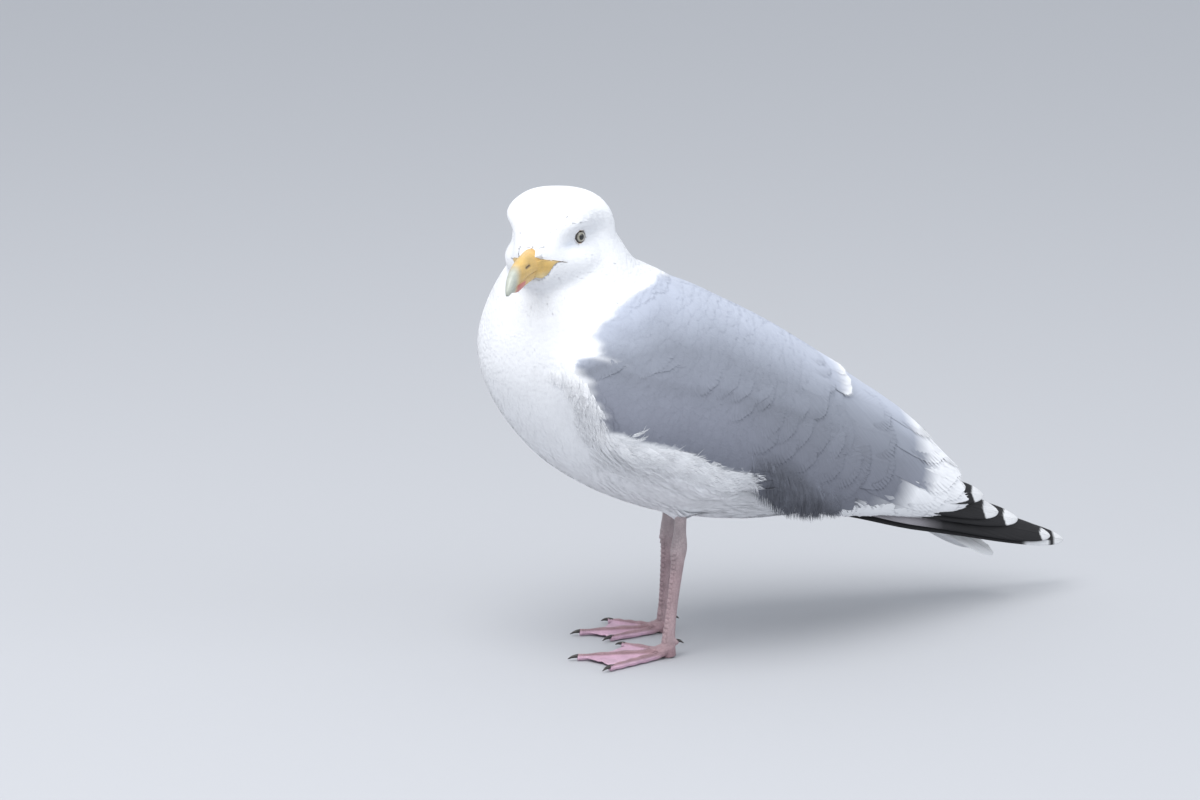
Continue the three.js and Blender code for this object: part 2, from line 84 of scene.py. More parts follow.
# [x, top y, top z, bottom y, bottom z, widest y], left wing
WING_STATIONS = np.array([
    [-240, 13, 85, 19, 78, 21], [-235, 7, 96, 21, 72, 25], [-221, 4, 112, 24, 67, 28.5], [-195, 2, 138, 28, 68, 34],
    [-160, 2, 163, 34, 75, 42], [-120, 4, 189, 43, 81, 54], [-80, 8, 213, 53, 91, 64], [-45, 13, 231, 63, 106, 71],
    [-5, 20, 249, 70, 128, 75], [35, 29, 254, 72, 144, 76], [65, 42, 242, 71, 152, 74], [86, 52, 233, 68, 168, 70],
    [97, 57, 219, 64, 184, 65], [101, 59, 210, 61, 196, 61],
], float)
WING_REAR, WING_FRONT = WING_STATIONS[0, 0], WING_STATIONS[-1, 0]
# power of a section's outline, where 2 is an ellipse and more is squarer
BODY_POWER, SADDLE_POWER, HEAD_POWER = 2.05, 2.3, 2.35
PLUMAGE_CELL, LEG_CELL = 1.9, 0.62  # how finely overlapping shapes are fused
# [share of the bill's length, culmen z, cutting edge z, half width], head frame
UPPER_BILL = np.array([
    [-0.3, 1.0, -11.4, 9.6], [0, 0.5, -11.6, 8.2], [0.25, 0.3, -11.2, 6.6], [0.5, -0.6, -11.4, 5.3],
    [0.7, -2.8, -12.2, 4.4], [0.85, -6.6, -13.6, 3.3], [0.95, -11.2, -16.2, 2.1], [1, -14.8, -17.6, 0.9],
], float)
# [share, cutting edge z, underside z, half width]
LOWER_BILL = np.array([
    [-0.3, -11.8, -18, 8.8], [0, -12, -18.3, 7.3], [0.25, -11.6, -18.4, 5.8], [0.5, -11.8, -18.9, 4.4],
    [0.68, -12.5, -19.6, 3.5], [0.8, -13.4, -18.4, 2.6], [0.9, -14.9, -17, 1.3],
], float)

HEAD_AXES = np.array([
    [math.cos(NOSE_DOWN) * math.cos(HEAD_YAW), math.cos(NOSE_DOWN) * math.sin(HEAD_YAW), -math.sin(NOSE_DOWN)],
    [-math.sin(HEAD_YAW), math.cos(HEAD_YAW), 0],
    [math.sin(NOSE_DOWN) * math.cos(HEAD_YAW), math.sin(NOSE_DOWN) * math.sin(HEAD_YAW), math.cos(NOSE_DOWN)],
])


def from_head(points):
    return np.asarray(points, float) @ HEAD_AXES + HEAD_ORIGIN


def to_head(points):
    return (np.asarray(points, float) - HEAD_ORIGIN) @ HEAD_AXES.T


eye_low, eye_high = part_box("eye_left")
PLACE = np.array((eye_low + eye_high) / 2) / MM - from_head(EYE_CENTRE)  # from the bird's frame to the frame's own
PLACE[1:] = 0


# ------------------------------------------------------------------ small helpers
def mirrored(vector, side):
    return np.asarray(vector, float) * [1, side, 1]


def unit(v):
    return v / np.maximum(np.linalg.norm(v, axis=-1, keepdims=True), 1e-9)


def ease(x, low, high):
    """0 below low, 1 above high, smooth between."""
    t = np.clip((np.asarray(x, float) - low) / (high - low), 0, 1)
    return t * t * (3 - 2 * t)


def smooth_table(rows, at):
    """Rows of [position, values...] read as a smooth curve at the given positions."""
    at = np.atleast_1d(np.asarray(at, float))
    n = len(rows)
    i = np.clip(np.searchsorted(rows[:, 0], at) - 1, 0, n - 2)
    below, above = np.maximum(np.arange(n) - 1, 0), np.minimum(np.arange(n) + 1, n - 1)
    slope = (rows[above, 1:] - rows[below, 1:]) / (rows[above, 0] - rows[below, 0])[:, None]
    span = rows[i + 1, 0] - rows[i, 0]
    t = np.clip((at - rows[i, 0]) / span, 0, 1)[:, None]
    t2, t3, span = t * t, t * t * t, span[:, None]
    return (rows[i, 1:] * (2 * t3 - 3 * t2 + 1) + rows[i + 1, 1:] * (3 * t2 - 2 * t3)
            + slope[i] * span * (t3 - 2 * t2 + t) + slope[i + 1] * span * (t3 - t2))


def smooth_rows(rows, at):
    """Rows of values read as a smooth curve. A place on it counts the rows from 0 and may fall between two."""
    rows = np.array(rows, float)
    return smooth_table(np.column_stack([np.arange(len(rows)), rows]), at)


def loft(rings):
    """Points and faces of a closed surface through rings, an array (rings, points, 3)."""
    count, around = rings.shape[:2]
    i, j = np.meshgrid(np.arange(count - 1), np.arange(around), indexing="ij")
    a, b = i * around + j, i * around + (j + 1) % around
    faces = np.stack([a, b, b + around, a + around], -1).reshape(-1, 4).tolist()
    first, base = count * around, (count - 1) * around
    faces += [[first, (j + 1) % around, j] for j in range(around)]
    faces += [[first + 1, base + j, base + (j + 1) % around] for j in range(around)]
    return np.vstack([rings.reshape(-1, 3), rings[0].mean(0), rings[-1].mean(0)]), faces


def outward(points, faces):
    """The faces turned to look out, by the sign of the volume they enclose."""
    total = 0.0
    for f in faces:
        p = points[f]
        for k in range(1, len(f) - 1):
            total += np.dot(p[0], np.cross(p[k], p[k + 1]))
    return faces if total > 0 else [f[::-1] for f in faces]


def merge(shapes):
    points, faces, start = [], [], 0
    for p, f in shapes:
        points.append(p)
        faces += [[start + i for i in face] for face in f]
        start += len(p)
    return np.vstack(points), faces


def egg_ring(centre, side, up, half, rise, drop, power, count):
    """Rings with their own heights above and below the middle. The first arguments are arrays, one row a ring."""
    angle = 2 * np.pi * np.arange(count) / count
    c, s = np.cos(angle), np.sin(angle)
    across = half[:, None] * np.sign(c) * np.abs(c) ** (2 / power)
    along = np.where(s > 0, rise[:, None], drop[:, None]) * np.sign(s) * np.abs(s) ** (2 / power)
    return centre[:, None] + side[:, None] * across[..., None] + up[:, None] * along[..., None]


def upright(count):
    """The bird's left and up, once for each ring."""
    return np.tile([0.0, 1, 0], (count, 1)), np.tile([0.0, 0, 1], (count, 1))


def plain_mesh(name, points, edges, faces):
    mesh = bpy.data.meshes.new(name)
    mesh.from_pydata(np.asarray(points).tolist(), edges, faces)
    return mesh


def placed(name, data):
    made = bpy.data.objects.new(name, data)
    bpy.context.scene.collection.objects.link(made)
    return made


def solid_of(holder):
    """The plain mesh of an object with its modifier applied. The object is removed."""
    made = bpy.data.meshes.new_from_object(holder.evaluated_get(bpy.context.evaluated_depsgraph_get()))
    bpy.data.objects.remove(holder)
    return made


def read(items, key, size, kind=np.float32):
    """One property of all vertices, edges or corners of a mesh."""
    values = np.empty(len(items) * size, kind)
    items.foreach_get(key, values)
    return values.reshape(-1, size)


def points_of(mesh):
    return read(mesh.vertices, "co", 3).astype(float)


def normals_of(mesh):
    return read(mesh.vertex_normals, "vector", 3).astype(float)


def edges_of(mesh):
    return read(mesh.edges, "vertices", 2, np.int32)


def faces_of(mesh):
    return [list(p.vertices) for p in mesh.polygons]


def set_points(mesh, points):
    mesh.vertices.foreach_set("co", points.astype(np.float32).ravel())


def relax(points, edges, rounds, weight=None):
    """Moves each point towards the middle of its neighbours, halfway or by its own share of that."""
    degree = np.bincount(edges.ravel(), minlength=len(points)).clip(1)[:, None]
    share = 0.5 if weight is None else 0.5 * weight[:, None]
    for _ in range(rounds):
        total = np.stack([
            np.bincount(edges[:, 0], points[edges[:, 1], k], len(points))
            + np.bincount(edges[:, 1], points[edges[:, 0], k], len(points)) for k in range(3)
        ], -1)
        points = points + (total / degree - points) * share
    return points


def fused(shapes, cell):
    """One closed skin round overlapping closed shapes: the largest piece, without the closed space under the wings."""
    points, faces = merge([(p, outward(p, f)) for p, f in shapes])
    holder = placed("fused", plain_mesh("fused", points, [], faces))
    remesh = holder.modifiers.new("remesh", "REMESH")
    remesh.mode, remesh.voxel_size, remesh.adaptivity = "VOXEL", cell, 0
    made = solid_of(holder)
    bm = bmesh.new()
    bm.from_mesh(made)
    seen, best = set(), []
    for start in bm.verts:
        if start in seen:
            continue
        seen.add(start)
        island, todo = [], [start]
        while todo:
            v = todo.pop()
            island.append(v)
            found = {e.other_vert(v) for e in v.link_edges} - seen
            seen |= found
            todo += found
        if len(island) > len(best):
            best = island
    keep = set(best)
    bmesh.ops.delete(bm, geom=[v for v in bm.verts if v not in keep], context="VERTS")
    bm.to_mesh(made)
    bm.free()
    return made


# ------------------------------------------------------------------ body surfaces
def body_shape(along=70, around=64):
    t = np.linspace(BODY_STATIONS[0, 0], BODY_STATIONS[-1, 0], along)
    back_x, back_z, under_x, under_z, y, half = smooth_table(BODY_STATIONS, t).T
    back, under = np.stack([back_x, y, back_z], -1), np.stack([under_x, y, under_z], -1)
    up = back - under
    rise = np.linalg.norm(up, axis=1) / 2
    side, _ = upright(along)
    return loft(egg_ring((back + under) / 2, side, unit(up), half, rise, rise, BODY_POWER, around))


def head_shape(along=44, around=56):
    first, last = HEAD_STATIONS[0, 0], HEAD_STATIONS[-1, 0]
    x = first + (last - first) * (1 - np.cos(np.pi * np.linspace(0, 1, along))) / 2
    top, bottom, half, hollow = smooth_table(HEAD_STATIONS, x).T
    middle = bottom + (top - bottom) * 0.52
    rings = egg_ring(np.stack([x, 0 * x, middle], -1), *upright(along), half, top - middle, middle - bottom, HEAD_POWER,
                     around)
    rings[..., 1] *= 1 - hollow[:, None] * np.exp(-(((rings[..., 2] - EYE_CENTRE[2]) / 8.5) ** 2))
    points, faces = loft(rings)
    return from_head(points), faces


def wing_face(x, t, side=LEFT):
    """The wing's outer face: x along the bird, t from 0 at its top edge to 1 at its bottom edge."""
    x, t = np.broadcast_arrays(np.asarray(x, float), np.asarray(t, float))
    top_y, top_z, low_y, low_z, widest = smooth_table(WING_STATIONS, x.ravel()).T.reshape(5, *x.shape)
    bulge = 4 * (widest - (top_y + low_y) / 2) * t * (1 - t) * (0.95 + 0.1 * t)
    y = top_y + (low_y - top_y) * t + bulge
    z = top_z + (low_z - top_z) * (t - 0.05 * np.sin(2 * np.pi * t))
    return np.stack([x, side * np.maximum(y, 0.6), z], -1)


def wing_shape(side, start=WING_REAR, along=60, down=20):
    x = start + (WING_FRONT - start) * (1 - np.cos(np.pi * np.linspace(0, 1, along))) / 2
    t = np.linspace(0, 1, down)
    outer = wing_face(x[:, None], t[None])
    step = np.gradient(outer, axis=1)
    inward = unit(np.stack([0 * x[:, None] + 0 * t, step[..., 2], -step[..., 1]], -1))
    thinning = np.minimum.reduce([np.ones(along), (x - WING_REAR) / 150 + 0.08, (WING_FRONT - x) / 30 + 0.2])
    depth = 2 + 12 * thinning[:, None] * np.sin(np.pi * t).clip(0)[None] ** 0.6
    inner = outer + inward * depth[..., None]
    inner[..., 1] = inner[..., 1].clip(0.4)
    return loft(mirrored(np.concatenate([outer, inner[:, ::-1]], 1), side))


def tube(rows, steps, around):
    """A round tube through rows of [x, y, z, radius]."""
    at = smooth_rows(rows, np.linspace(0, len(rows) - 1, steps))
    centre, radius = at[:, :3], at[:, 3].clip(0.04)
    along = unit(np.gradient(centre, axis=0))
    reference = np.where(np.abs(along[:, 2:3]) > 0.8, [[0.0, 1, 0]], [[0.0, 0, 1]])
    side = unit(np.cross(reference, along))
    return loft(egg_ring(centre, side, np.cross(along, side), radius, radius, radius, 2, around))


def thigh_shape(foot):
    x, y = foot["hip"]
    return tube([[x - 8, y, 120, 14], [x - 4, y, 105, 11.5], [x, y, 95, 8.0], [x + 1, y, 88, 5.4]], 16, 32)


def saddle_shape(along=50, around=28):
    """The long back feathers that drape over both wings' upper edges."""
    x = np.linspace(-226, 15, along)
    top_y, top_z = smooth_table(WING_STATIONS, x).T[:2]
    return loft(egg_ring(np.stack([x, 0 * x, top_z - 7], -1), *upright(along), top_y + 5, 8 + 0 * x, 7 + 0 * x,
                         SADDLE_POWER, around))


# [x, y, z, radius] of the two lobes of face feathers beside the bill's ridge, head frame, left
FACE_LOBES = [
    [[20, 8, -4, 6.0], [27, 6.5, -3.1, 4.5], [33, 5.2, -2.8, 3.3], [37, 4.8, -3.0, 2.3], [39.5, 4.9, -3.6, 1.0]],
    [[21, 5.5, 0.5, 4.6], [27, 4.6, 0.1, 3.3], [31.5, 4.1, -0.6, 2.3], [35.5, 4.2, -1.6, 1.0]],
]
# [x, y, z, radius] of the rolls of loose feathers on the left: the breast's over the wing's bend, then the flank's
# over its lower edge, then the filling under them
LOOSE_ROLLS = [
    [[106, 42, 220, 4], [101, 47, 210, 9], [95, 49, 197, 12], [88, 51, 184, 12], [79, 51, 171, 12], [66, 49, 158, 11]],
    [[86, 56, 168, 5], [74, 62, 157, 9], [55, 64, 149, 11.5], [36, 63, 143, 12.5], [10, 62, 131, 12.5],
     [-8, 59, 122, 12], [-20, 55, 116, 9], [-28, 50, 112, 4]],
    [[80, 46, 160, 7], [60, 46, 147, 12], [36, 46, 136, 15], [8, 43, 125, 17], [-12, 36, 117, 16], [-44, 20, 108, 9]],
]


def on_both_sides(tables, steps, around):
    """Tubes through the left side's tables, on the left and then on the right."""
    made = [tube(rows, steps, around) for rows in tables]
    return [(mirrored(points, side), faces) for side in SIDES.values() for points, faces in made]


def wing_top(x):
    return np.interp(x, WING_STATIONS[:, 0], WING_STATIONS[:, 2])


def wing_low(x):
    return np.interp(x, WING_STATIONS[:, 0], WING_STATIONS[:, 4])


# how far the white flank feathers lie over the wing's lower edge: x, then the height
FLANK_OVER = [[-42, -36, -29, -20, 3, 11, 27, 45, 63, 74, 84], [0, 1, 4, 9, 2, 1, 6, 8, 8, 6, 0]]


def flank_edge(x):
    """Height up to which the white flank feathers lie over the wing."""
    return wing_low(x) + np.interp(x, *FLANK_OVER)


# the grey's front border on the bird's side: [height, x], and over its back: [distance from the middle, x]
SIDE_BORDER = np.array([
    [144, 55], [150, 66], [155, 71], [163, 81], [174, 87], [185, 91], [200, 96], [206, 99], [212, 103], [214.5, 96],
    [217, 86], [222, 86], [229, 84], [235, 79], [244, 64], [251, 45], [256, 22], [262, 4],
])
BACK_BORDER = np.array([[0, 0], [20, 8], [30, 21], [47, 47], [54, 66], [60, 110]])

flesh = [body_shape(), head_shape(), saddle_shape(), *(thigh_shape(foot) for foot in FEET.values()),
         *((from_head(points), faces) for points, faces in on_both_sides(FACE_LOBES, 20, 20)),
         *on_both_sides(LOOSE_ROLLS, 30, 24)]
outline = fused([*flesh, *(wing_shape(side) for side in SIDES.values())], PLUMAGE_CELL)
outline_points = relax(points_of(outline), edges_of(outline), 8)


def soft_parts(points):
    """1 over breast, belly and flanks, where loose feathers fill every hollow, down to 0 on wings, head and tail."""
    x, z = points[:, 0], points[:, 2]
    front = ease(x - np.interp(z, *SIDE_BORDER.T), -6, 2) * ease(z, 100, 120)
    under = ease(flank_edge(x) - z, 0, 6) * ease(x, -70, -40)
    head = ease(np.linalg.norm(points - HEAD_ORIGIN, axis=1), 42, 60)
    return np.maximum(front, under) * head


outline_points = relax(outline_points, edges_of(outline), 60, weight=soft_parts(outline_points))
set_points(outline, outline_points)
outline.update()
outline_normals = relax(normals_of(outline), edges_of(outline), 4)
outline_faces = faces_of(outline)
corner = np.array([f if len(f) == 4 else [*f, f[-1]] for f in outline_faces])
face_normals = unit(outline_normals[corner].mean(1))
outline_tree = BVHTree.FromPolygons(outline_points.tolist(), outline_faces)


def on_outline(points):
    """The nearest places on the plumage's outline, with its normals."""
    flat = np.asarray(points, float).reshape(-1, 3)
    place, normal = np.empty_like(flat), np.empty_like(flat)
    for i, p in enumerate(flat.tolist()):
        place[i], _, index, _ = outline_tree.find_nearest(p)
        normal[i] = face_normals[index]
    return place.reshape(np.shape(points)), normal.reshape(np.shape(points))


# ------------------------------------------------------------------ lie, length, markings and painted light and shade of the plumage
BODY_LINE = np.array([
    [118, 35, 275], [100, 21, 283], [84, 9, 284], [77, 3, 262], [72, 0, 232], [60, 0, 205], [36, 0, 186],
    [-13, 0, 165], [-60, 0, 142], [-101, 0, 123], [-140, 0, 103], [-190, 0, 80], [-258, 0, 45],
], float)
BODY_PATH = smooth_rows(BODY_LINE, np.linspace(0, len(BODY_LINE) - 1, 90))
PATH_WAY = unit(np.gradient(BODY_PATH, axis=0))
PATH_LENGTH = np.concatenate([[0], np.cumsum(np.linalg.norm(np.diff(BODY_PATH, axis=0), axis=1))])


def laid_flat(ways, normals):
    """Ways turned to lie on the surface."""
    return unit(ways - normals * (ways * normals).sum(1, keepdims=True))


def lie(points, normals):
    """The way the plumage lies at points of the outline: from the bill towards the tail."""
    gap = np.linalg.norm(points[:, None] - BODY_PATH[None], axis=2)
    near = np.exp(-((gap - gap.min(1, keepdims=True)) / 9.0))
    way = unit(near @ PATH_WAY)
    h = to_head(points)
    on_head = ease(h[:, 0], -40, -15) * ease(h[:, 2], -60, -30)
    under = ease(-h[:, 2], 12, 32)[:, None]
    back = unit(np.array([-1.0, 0, -0.25]) * (1 - under) + np.array([-0.25, 0, -1.0]) * under) @ HEAD_AXES
    return laid_flat(unit(way * (1 - on_head[:, None]) + back * on_head[:, None]), normals)


def from_bill(points):
    """Distance from the base of the bill."""
    return np.linalg.norm(to_head(points) - [BILL_BASE, 0, -8], axis=1)


def vane_length(points):
    return np.clip(2.4 + 0.088 * from_bill(points), 3.0, 23)


def coat_depth(points):
    return np.clip(0.115 * vane_length(points), 0.35, 2.6)


WHITE = np.array([0.86, 0.872, 0.90])
MANTLE = np.array([0.37, 0.40, 0.475])


def on_wing(points, margin):
    """True over the folded wings and the back between them, less a margin at the front and the lower edge."""
    x, z = points[:, 0], points[:, 2]
    return (x < np.interp(z, *SIDE_BORDER.T) - margin) & (z > flank_edge(x) + margin)


def mantle_share(points):
    """1 where the plumage is grey: the wings, and the back behind a line from the nape out to the wings' bends."""
    x, y, z = points[:, 0], np.abs(points[:, 1]), points[:, 2]
    border = np.minimum(np.interp(z, *SIDE_BORDER.T), np.interp(y, *BACK_BORDER.T))
    border = border + 1.5 * np.sin(0.31 * z + 0.9 * np.sin(0.17 * y)) + 1.0 * np.sin(0.83 * z + 2)
    streak = np.exp(-(((z - np.interp(x, [60, 84, 97], [205, 214, 218])) / 1.9) ** 2)) * ease(x, 64, 94) * (y > 40)
    return ease(border - x, -5, 5) * ease(z - flank_edge(x), -1.5, 1.5) * (1 - 0.6 * streak)


# painted light on the grey, lighter up the back where it faces the light: from the wing's top edge, 0, down to its
# bottom edge, 1
PAINTED_LIGHT_DOWN = [[0, 0.1, 0.2, 0.34, 0.5, 0.75, 0.9, 1], [1.34, 1.20, 0.96, 0.68, 0.68, 0.67, 0.64, 0.62]]
# how far down the painted shade under the flank feathers begins on the wing's lower edge, by the distance behind the
# middle
FLANK_SHADE_FROM = [[20, 34, 50, 62, 79, 104, 120], [0.86, 0.78, 0.75, 0.77, 0.84, 0.94, 1.0]]
# how far down the painted shadow under the scapulars' ends begins, by x
SCAPULAR_SHADOW_FROM = [[-110, -59, -10, 34, 61, 84], [0.40, 0.46, 0.51, 0.54, 0.45, 0.34]]
REAR_SHARE, FLANK_SHADE_SHARE, SCAPULAR_SHADOW_SHARE = 0.2, 0.33, 0.10  # how much each of these darkens the grey: the lower rear, the painted shade under the flank feathers, the painted shadow under the scapulars


def grey_at(points):
    """The mantle's grey with painted light and shade: lighter up the back, painted shade under flanks and scapulars."""
    flat = points.reshape(-1, 3)
    x, top, low = flat[:, 0], wing_top(flat[:, 0]), wing_low(flat[:, 0])
    down = (top - flat[:, 2]) / np.maximum(top - low, 10)
    # painted light: lighter towards the wing's top, which faces the light from above
    tone = np.interp(down, *PAINTED_LIGHT_DOWN)
    tone = tone * (1 - REAR_SHARE * ease(down, 0.35, 0.6) * ease(-x, -10, 50) * (1 - ease(-x, 170, 190)))
    # painted shade under the flank feathers that lap over the wing's lower edge
    flank_shade = down - np.interp(-x, *FLANK_SHADE_FROM)
    tone = tone * (1 - FLANK_SHADE_SHARE * ease(flank_shade, -0.05, 0.08) * ease(-x, 16, 26) * (1 - ease(-x, 106, 124)))
    # painted shadow under the scapulars' ends
    below = down - np.interp(x, *SCAPULAR_SHADOW_FROM)
    tone = tone * (1 - SCAPULAR_SHADOW_SHARE * ease(below, -0.01, 0.02) * (1 - ease(below, 0.03, 0.16)) * ease(x, -130, -60))
    tint = 1 - np.outer(ease(down, 0.3, 0.8), [0.0, 0.02, 0.0])
    return (MANTLE * tone[:, None] * tint).reshape(points.shape)


# painted shade on the face, round the eye: [strength, x, z from the eye, width, height, slant]
PAINTED_FACE_SHADE_SPOTS = [[0.04, 1, 0, 6.0, 4.6, 0], [0.20, 14, -1.5, 8, 2.4, 0.10], [0.02, -10, 2.0, 7, 2.0, -0.15],
              [0.05, 8, -9.5, 10, 2.6, 0]]


def painted_face_shade(points):
    """Painted shade round the eye, in front of it and behind it, 0 to about 0.2."""
    h = to_head(points)
    x, z = h[:, 0] - EYE_CENTRE[0], h[:, 2] - EYE_CENTRE[2]
    shade = 0
    for strength, x0, z0, wide, tall, slant in PAINTED_FACE_SHADE_SPOTS:
        shade = shade + strength * np.exp(-(((x - x0) / wide) ** 2) - ((z - z0 - slant * (x - x0)) / tall) ** 2)
    return shade * ease(np.abs(h[:, 1]), 6, 12)


def dye_and_painted_shade(points):
    """Colour of skin and plumage, with painted light and shade on the grey and the face."""
    grey, shade = mantle_share(points)[:, None], painted_face_shade(points)[:, None]
    # the face's painted shade is bluish, like shade lit by the sky
    return (WHITE * (1 - grey) + grey_at(points) * grey) * (1 - shade * [1.0, 0.85, 0.62])


# ------------------------------------------------------------------ finishes
def group(kind, name, inputs, outputs):
    """A node group with inputs {label: start value, or None for a geometry} and outputs {label: kind}."""
    tree = bpy.data.node_groups.new(name, kind)
    for label, value in inputs.items():
        sort = "Geometry" if value is None else "Float"
        socket = tree.interface.new_socket(label, in_out="INPUT", socket_type="NodeSocket" + sort)
        if value is not None:
            socket.default_value = value
    for label, sort in outputs.items():
        tree.interface.new_socket(label, in_out="OUTPUT", socket_type="NodeSocket" + sort)
    given, sink = tree.nodes.new("NodeGroupInput"), tree.nodes.new("NodeGroupOutput")
    return Bench(tree), named(given.outputs), sink.inputs


def feed(socket, value):
    """Joins a socket to another one's value, or sets its own."""
    if isinstance(value, Signal):
        socket.id_data.links.new(value.socket, socket)
    else:
        socket.default_value = value


class Signal:
    """What a socket puts out. Sums and products of signals and numbers are Math nodes in the same tree."""

    def __init__(self, socket):
        self.socket = socket

    def math(self, operation, *values):
        made = self.socket.id_data.nodes.new("ShaderNodeMath")
        made.operation = operation
        for i, value in enumerate(values or [self]):
            feed(made.inputs[i], value)
        return Signal(made.outputs[0])

    def __add__(self, other):
        return self.math("ADD", self, other)

    def __sub__(self, other):
        return self.math("SUBTRACT", self, other)

    def __rsub__(self, other):
        return self.math("SUBTRACT", other, self)

    def __mul__(self, other):
        return self.math("MULTIPLY", self, other)


def named(sockets):
    return {socket.name: Signal(socket) for socket in sockets if socket.name}


class Bench:
    """Short ways to add nodes to one tree."""

    def __init__(self, tree):
        self.tree = tree

    def node(self, kind, inputs, output=0, **settings):
        """A new node, with its inputs given as {name or number: value}. Returns one of its outputs as a signal."""
        made = self.tree.nodes.new(kind if "Node" in kind else "ShaderNode" + kind)
        for key, value in settings.items():
            setattr(made, key, value)
        for key, value in inputs.items():
            feed(made.inputs[key], value)
        return Signal(made.outputs[output])

    def band(self, value, low, high, to_low=0.0, to_high=1.0):
        return self.node("MapRange", dict(enumerate((value, low, high, to_low, to_high))),
                         interpolation_type="SMOOTHSTEP")

    def point(self, *xyz):
        return self.node("CombineXYZ", dict(enumerate(xyz)))

    def parts(self, point):
        made = self.tree.nodes.new("ShaderNodeSeparateXYZ")
        feed(made.inputs[0], point)
        return [Signal(socket) for socket in made.outputs]

    def place(self):
        return self.node("TexCoord", {}, "Object")

    def noise(self, where, scale, detail=2.0, rough=0.5):
        return self.node("TexNoise", {"Vector": where, "Scale": scale, "Detail": detail, "Roughness": rough}, "Fac")

    def attribute(self, name, output="Fac"):
        return self.node("Attribute", {}, output, attribute_name=name)

    def use(self, tree, values):
        made = self.tree.nodes.new("ShaderNodeGroup")
        made.node_tree = tree
        for key, value in values.items():
            feed(made.inputs[key], value)
        return named(made.outputs)


def build_barbs():
    """Fine barbs that run out from the shaft at a slant, with splits between them where the vane has parted, darkened
    as painted shade.
    """
    b, given, sink = group("ShaderNodeTree", "barbs", {
        "Along": 0.0, "Across": 0.0, "Pick": 0.0, "Barbs": 60.0, "Slant": 0.35, "Splits": 0.4},
        {"Shade": "Float", "Height": "Float", "Shaft": "Float"})
    across, pick, barbs = given["Across"], given["Pick"], given["Barbs"]
    out = across.math("ABSOLUTE")
    reach = given["Along"] - out * given["Slant"]
    fine = b.noise(b.point(reach * barbs, across * 1.4, pick * 37.0), 1.0, 2.0, 0.6)
    wide = b.noise(b.point(reach * (barbs * 0.22), across * 0.8, pick * 91.0), 1.0, 1.0)
    parted = b.band(wide, 0.62, 0.7) * given["Splits"]
    shaft = b.band(out, 0.0, 0.09, 1.0, 0.0)
    # painted shade: the splits are darkened as shade in the gaps
    feed(sink["Shade"], b.band(fine, 0.25, 0.75) - parted)
    feed(sink["Height"], fine * 0.6 - parted + shaft * 0.5)
    feed(sink["Shaft"], shaft)
    return b.tree


def build_grain():
    """Uneven tone over a whole surface, in patches and in fine specks."""
    b, given, sink = group("ShaderNodeTree", "grain", {"Patch": 60.0, "Speck": 900.0},
                           {"Patches": "Float", "Specks": "Float"})
    where = b.place()
    feed(sink["Patches"], b.noise(where, given["Patch"], 2.0))
    feed(sink["Specks"], b.noise(where, given["Speck"], 3.0))
    return b.tree


BARBS, GRAIN = build_barbs(), build_grain()


def finish(name, **sockets):
    """A new material with its bench and the sockets of its Principled shader, which take the given constants."""
    made = bpy.data.materials.new(name)
    made.use_nodes = True
    shader = made.node_tree.nodes["Principled BSDF"].inputs
    for key, value in sockets.items():
        shader[key.replace("_", " ")].default_value = value
    return made, Bench(made.node_tree), shader


def coloured_with(b, shader, tone):
    """The piece's colours, painted shade included where it has any, times a tone."""
    grey = b.node("CombineColor", {0: tone, 1: tone, 2: tone})
    feed(shader["Base Color"], b.node("Mix", {0: 1.0, 6: b.attribute("dye_and_painted_shade", "Color"), 7: grey}, 2, data_type="RGBA",
                                      blend_type="MULTIPLY"))


def raised(b, shader, height, distance):
    feed(shader["Normal"], b.node("Bump", {"Distance": distance, "Height": height}))


def plumage_finish(name, barbs, splits, contrast, relief, roughness, shaft_tone=0.0, sheen=0.12):
    made, b, shader = finish(name, Roughness=roughness, Sheen_Weight=sheen, Sheen_Roughness=0.5,
                             Specular_IOR_Level=0.25)
    grain = b.use(GRAIN, {"Patch": 45.0, "Speck": 700.0})
    barb = b.use(BARBS, {"Along": b.attribute("along"), "Across": b.attribute("across"), "Pick": b.attribute("pick"),
                         "Barbs": barbs, "Splits": splits})
    tone = barb["Shade"] * contrast + (1.0 - contrast)
    tone = tone * b.band(grain["Patches"], 0.3, 0.7, 0.965, 1.0)
    tone = tone * b.band(b.attribute("pick"), 0.0, 1.0, 0.97, 1.0)
    if shaft_tone:
        tone = tone * b.band(barb["Shaft"], 0.0, 1.0, 1.0, 1.0 - shaft_tone)
    coloured_with(b, shader, tone)
    feed(shader["Roughness"], b.band(barb["Shade"], 0.0, 1.0, roughness + 0.08, roughness - 0.05))
    raised(b, shader, barb["Height"], relief)
    return made


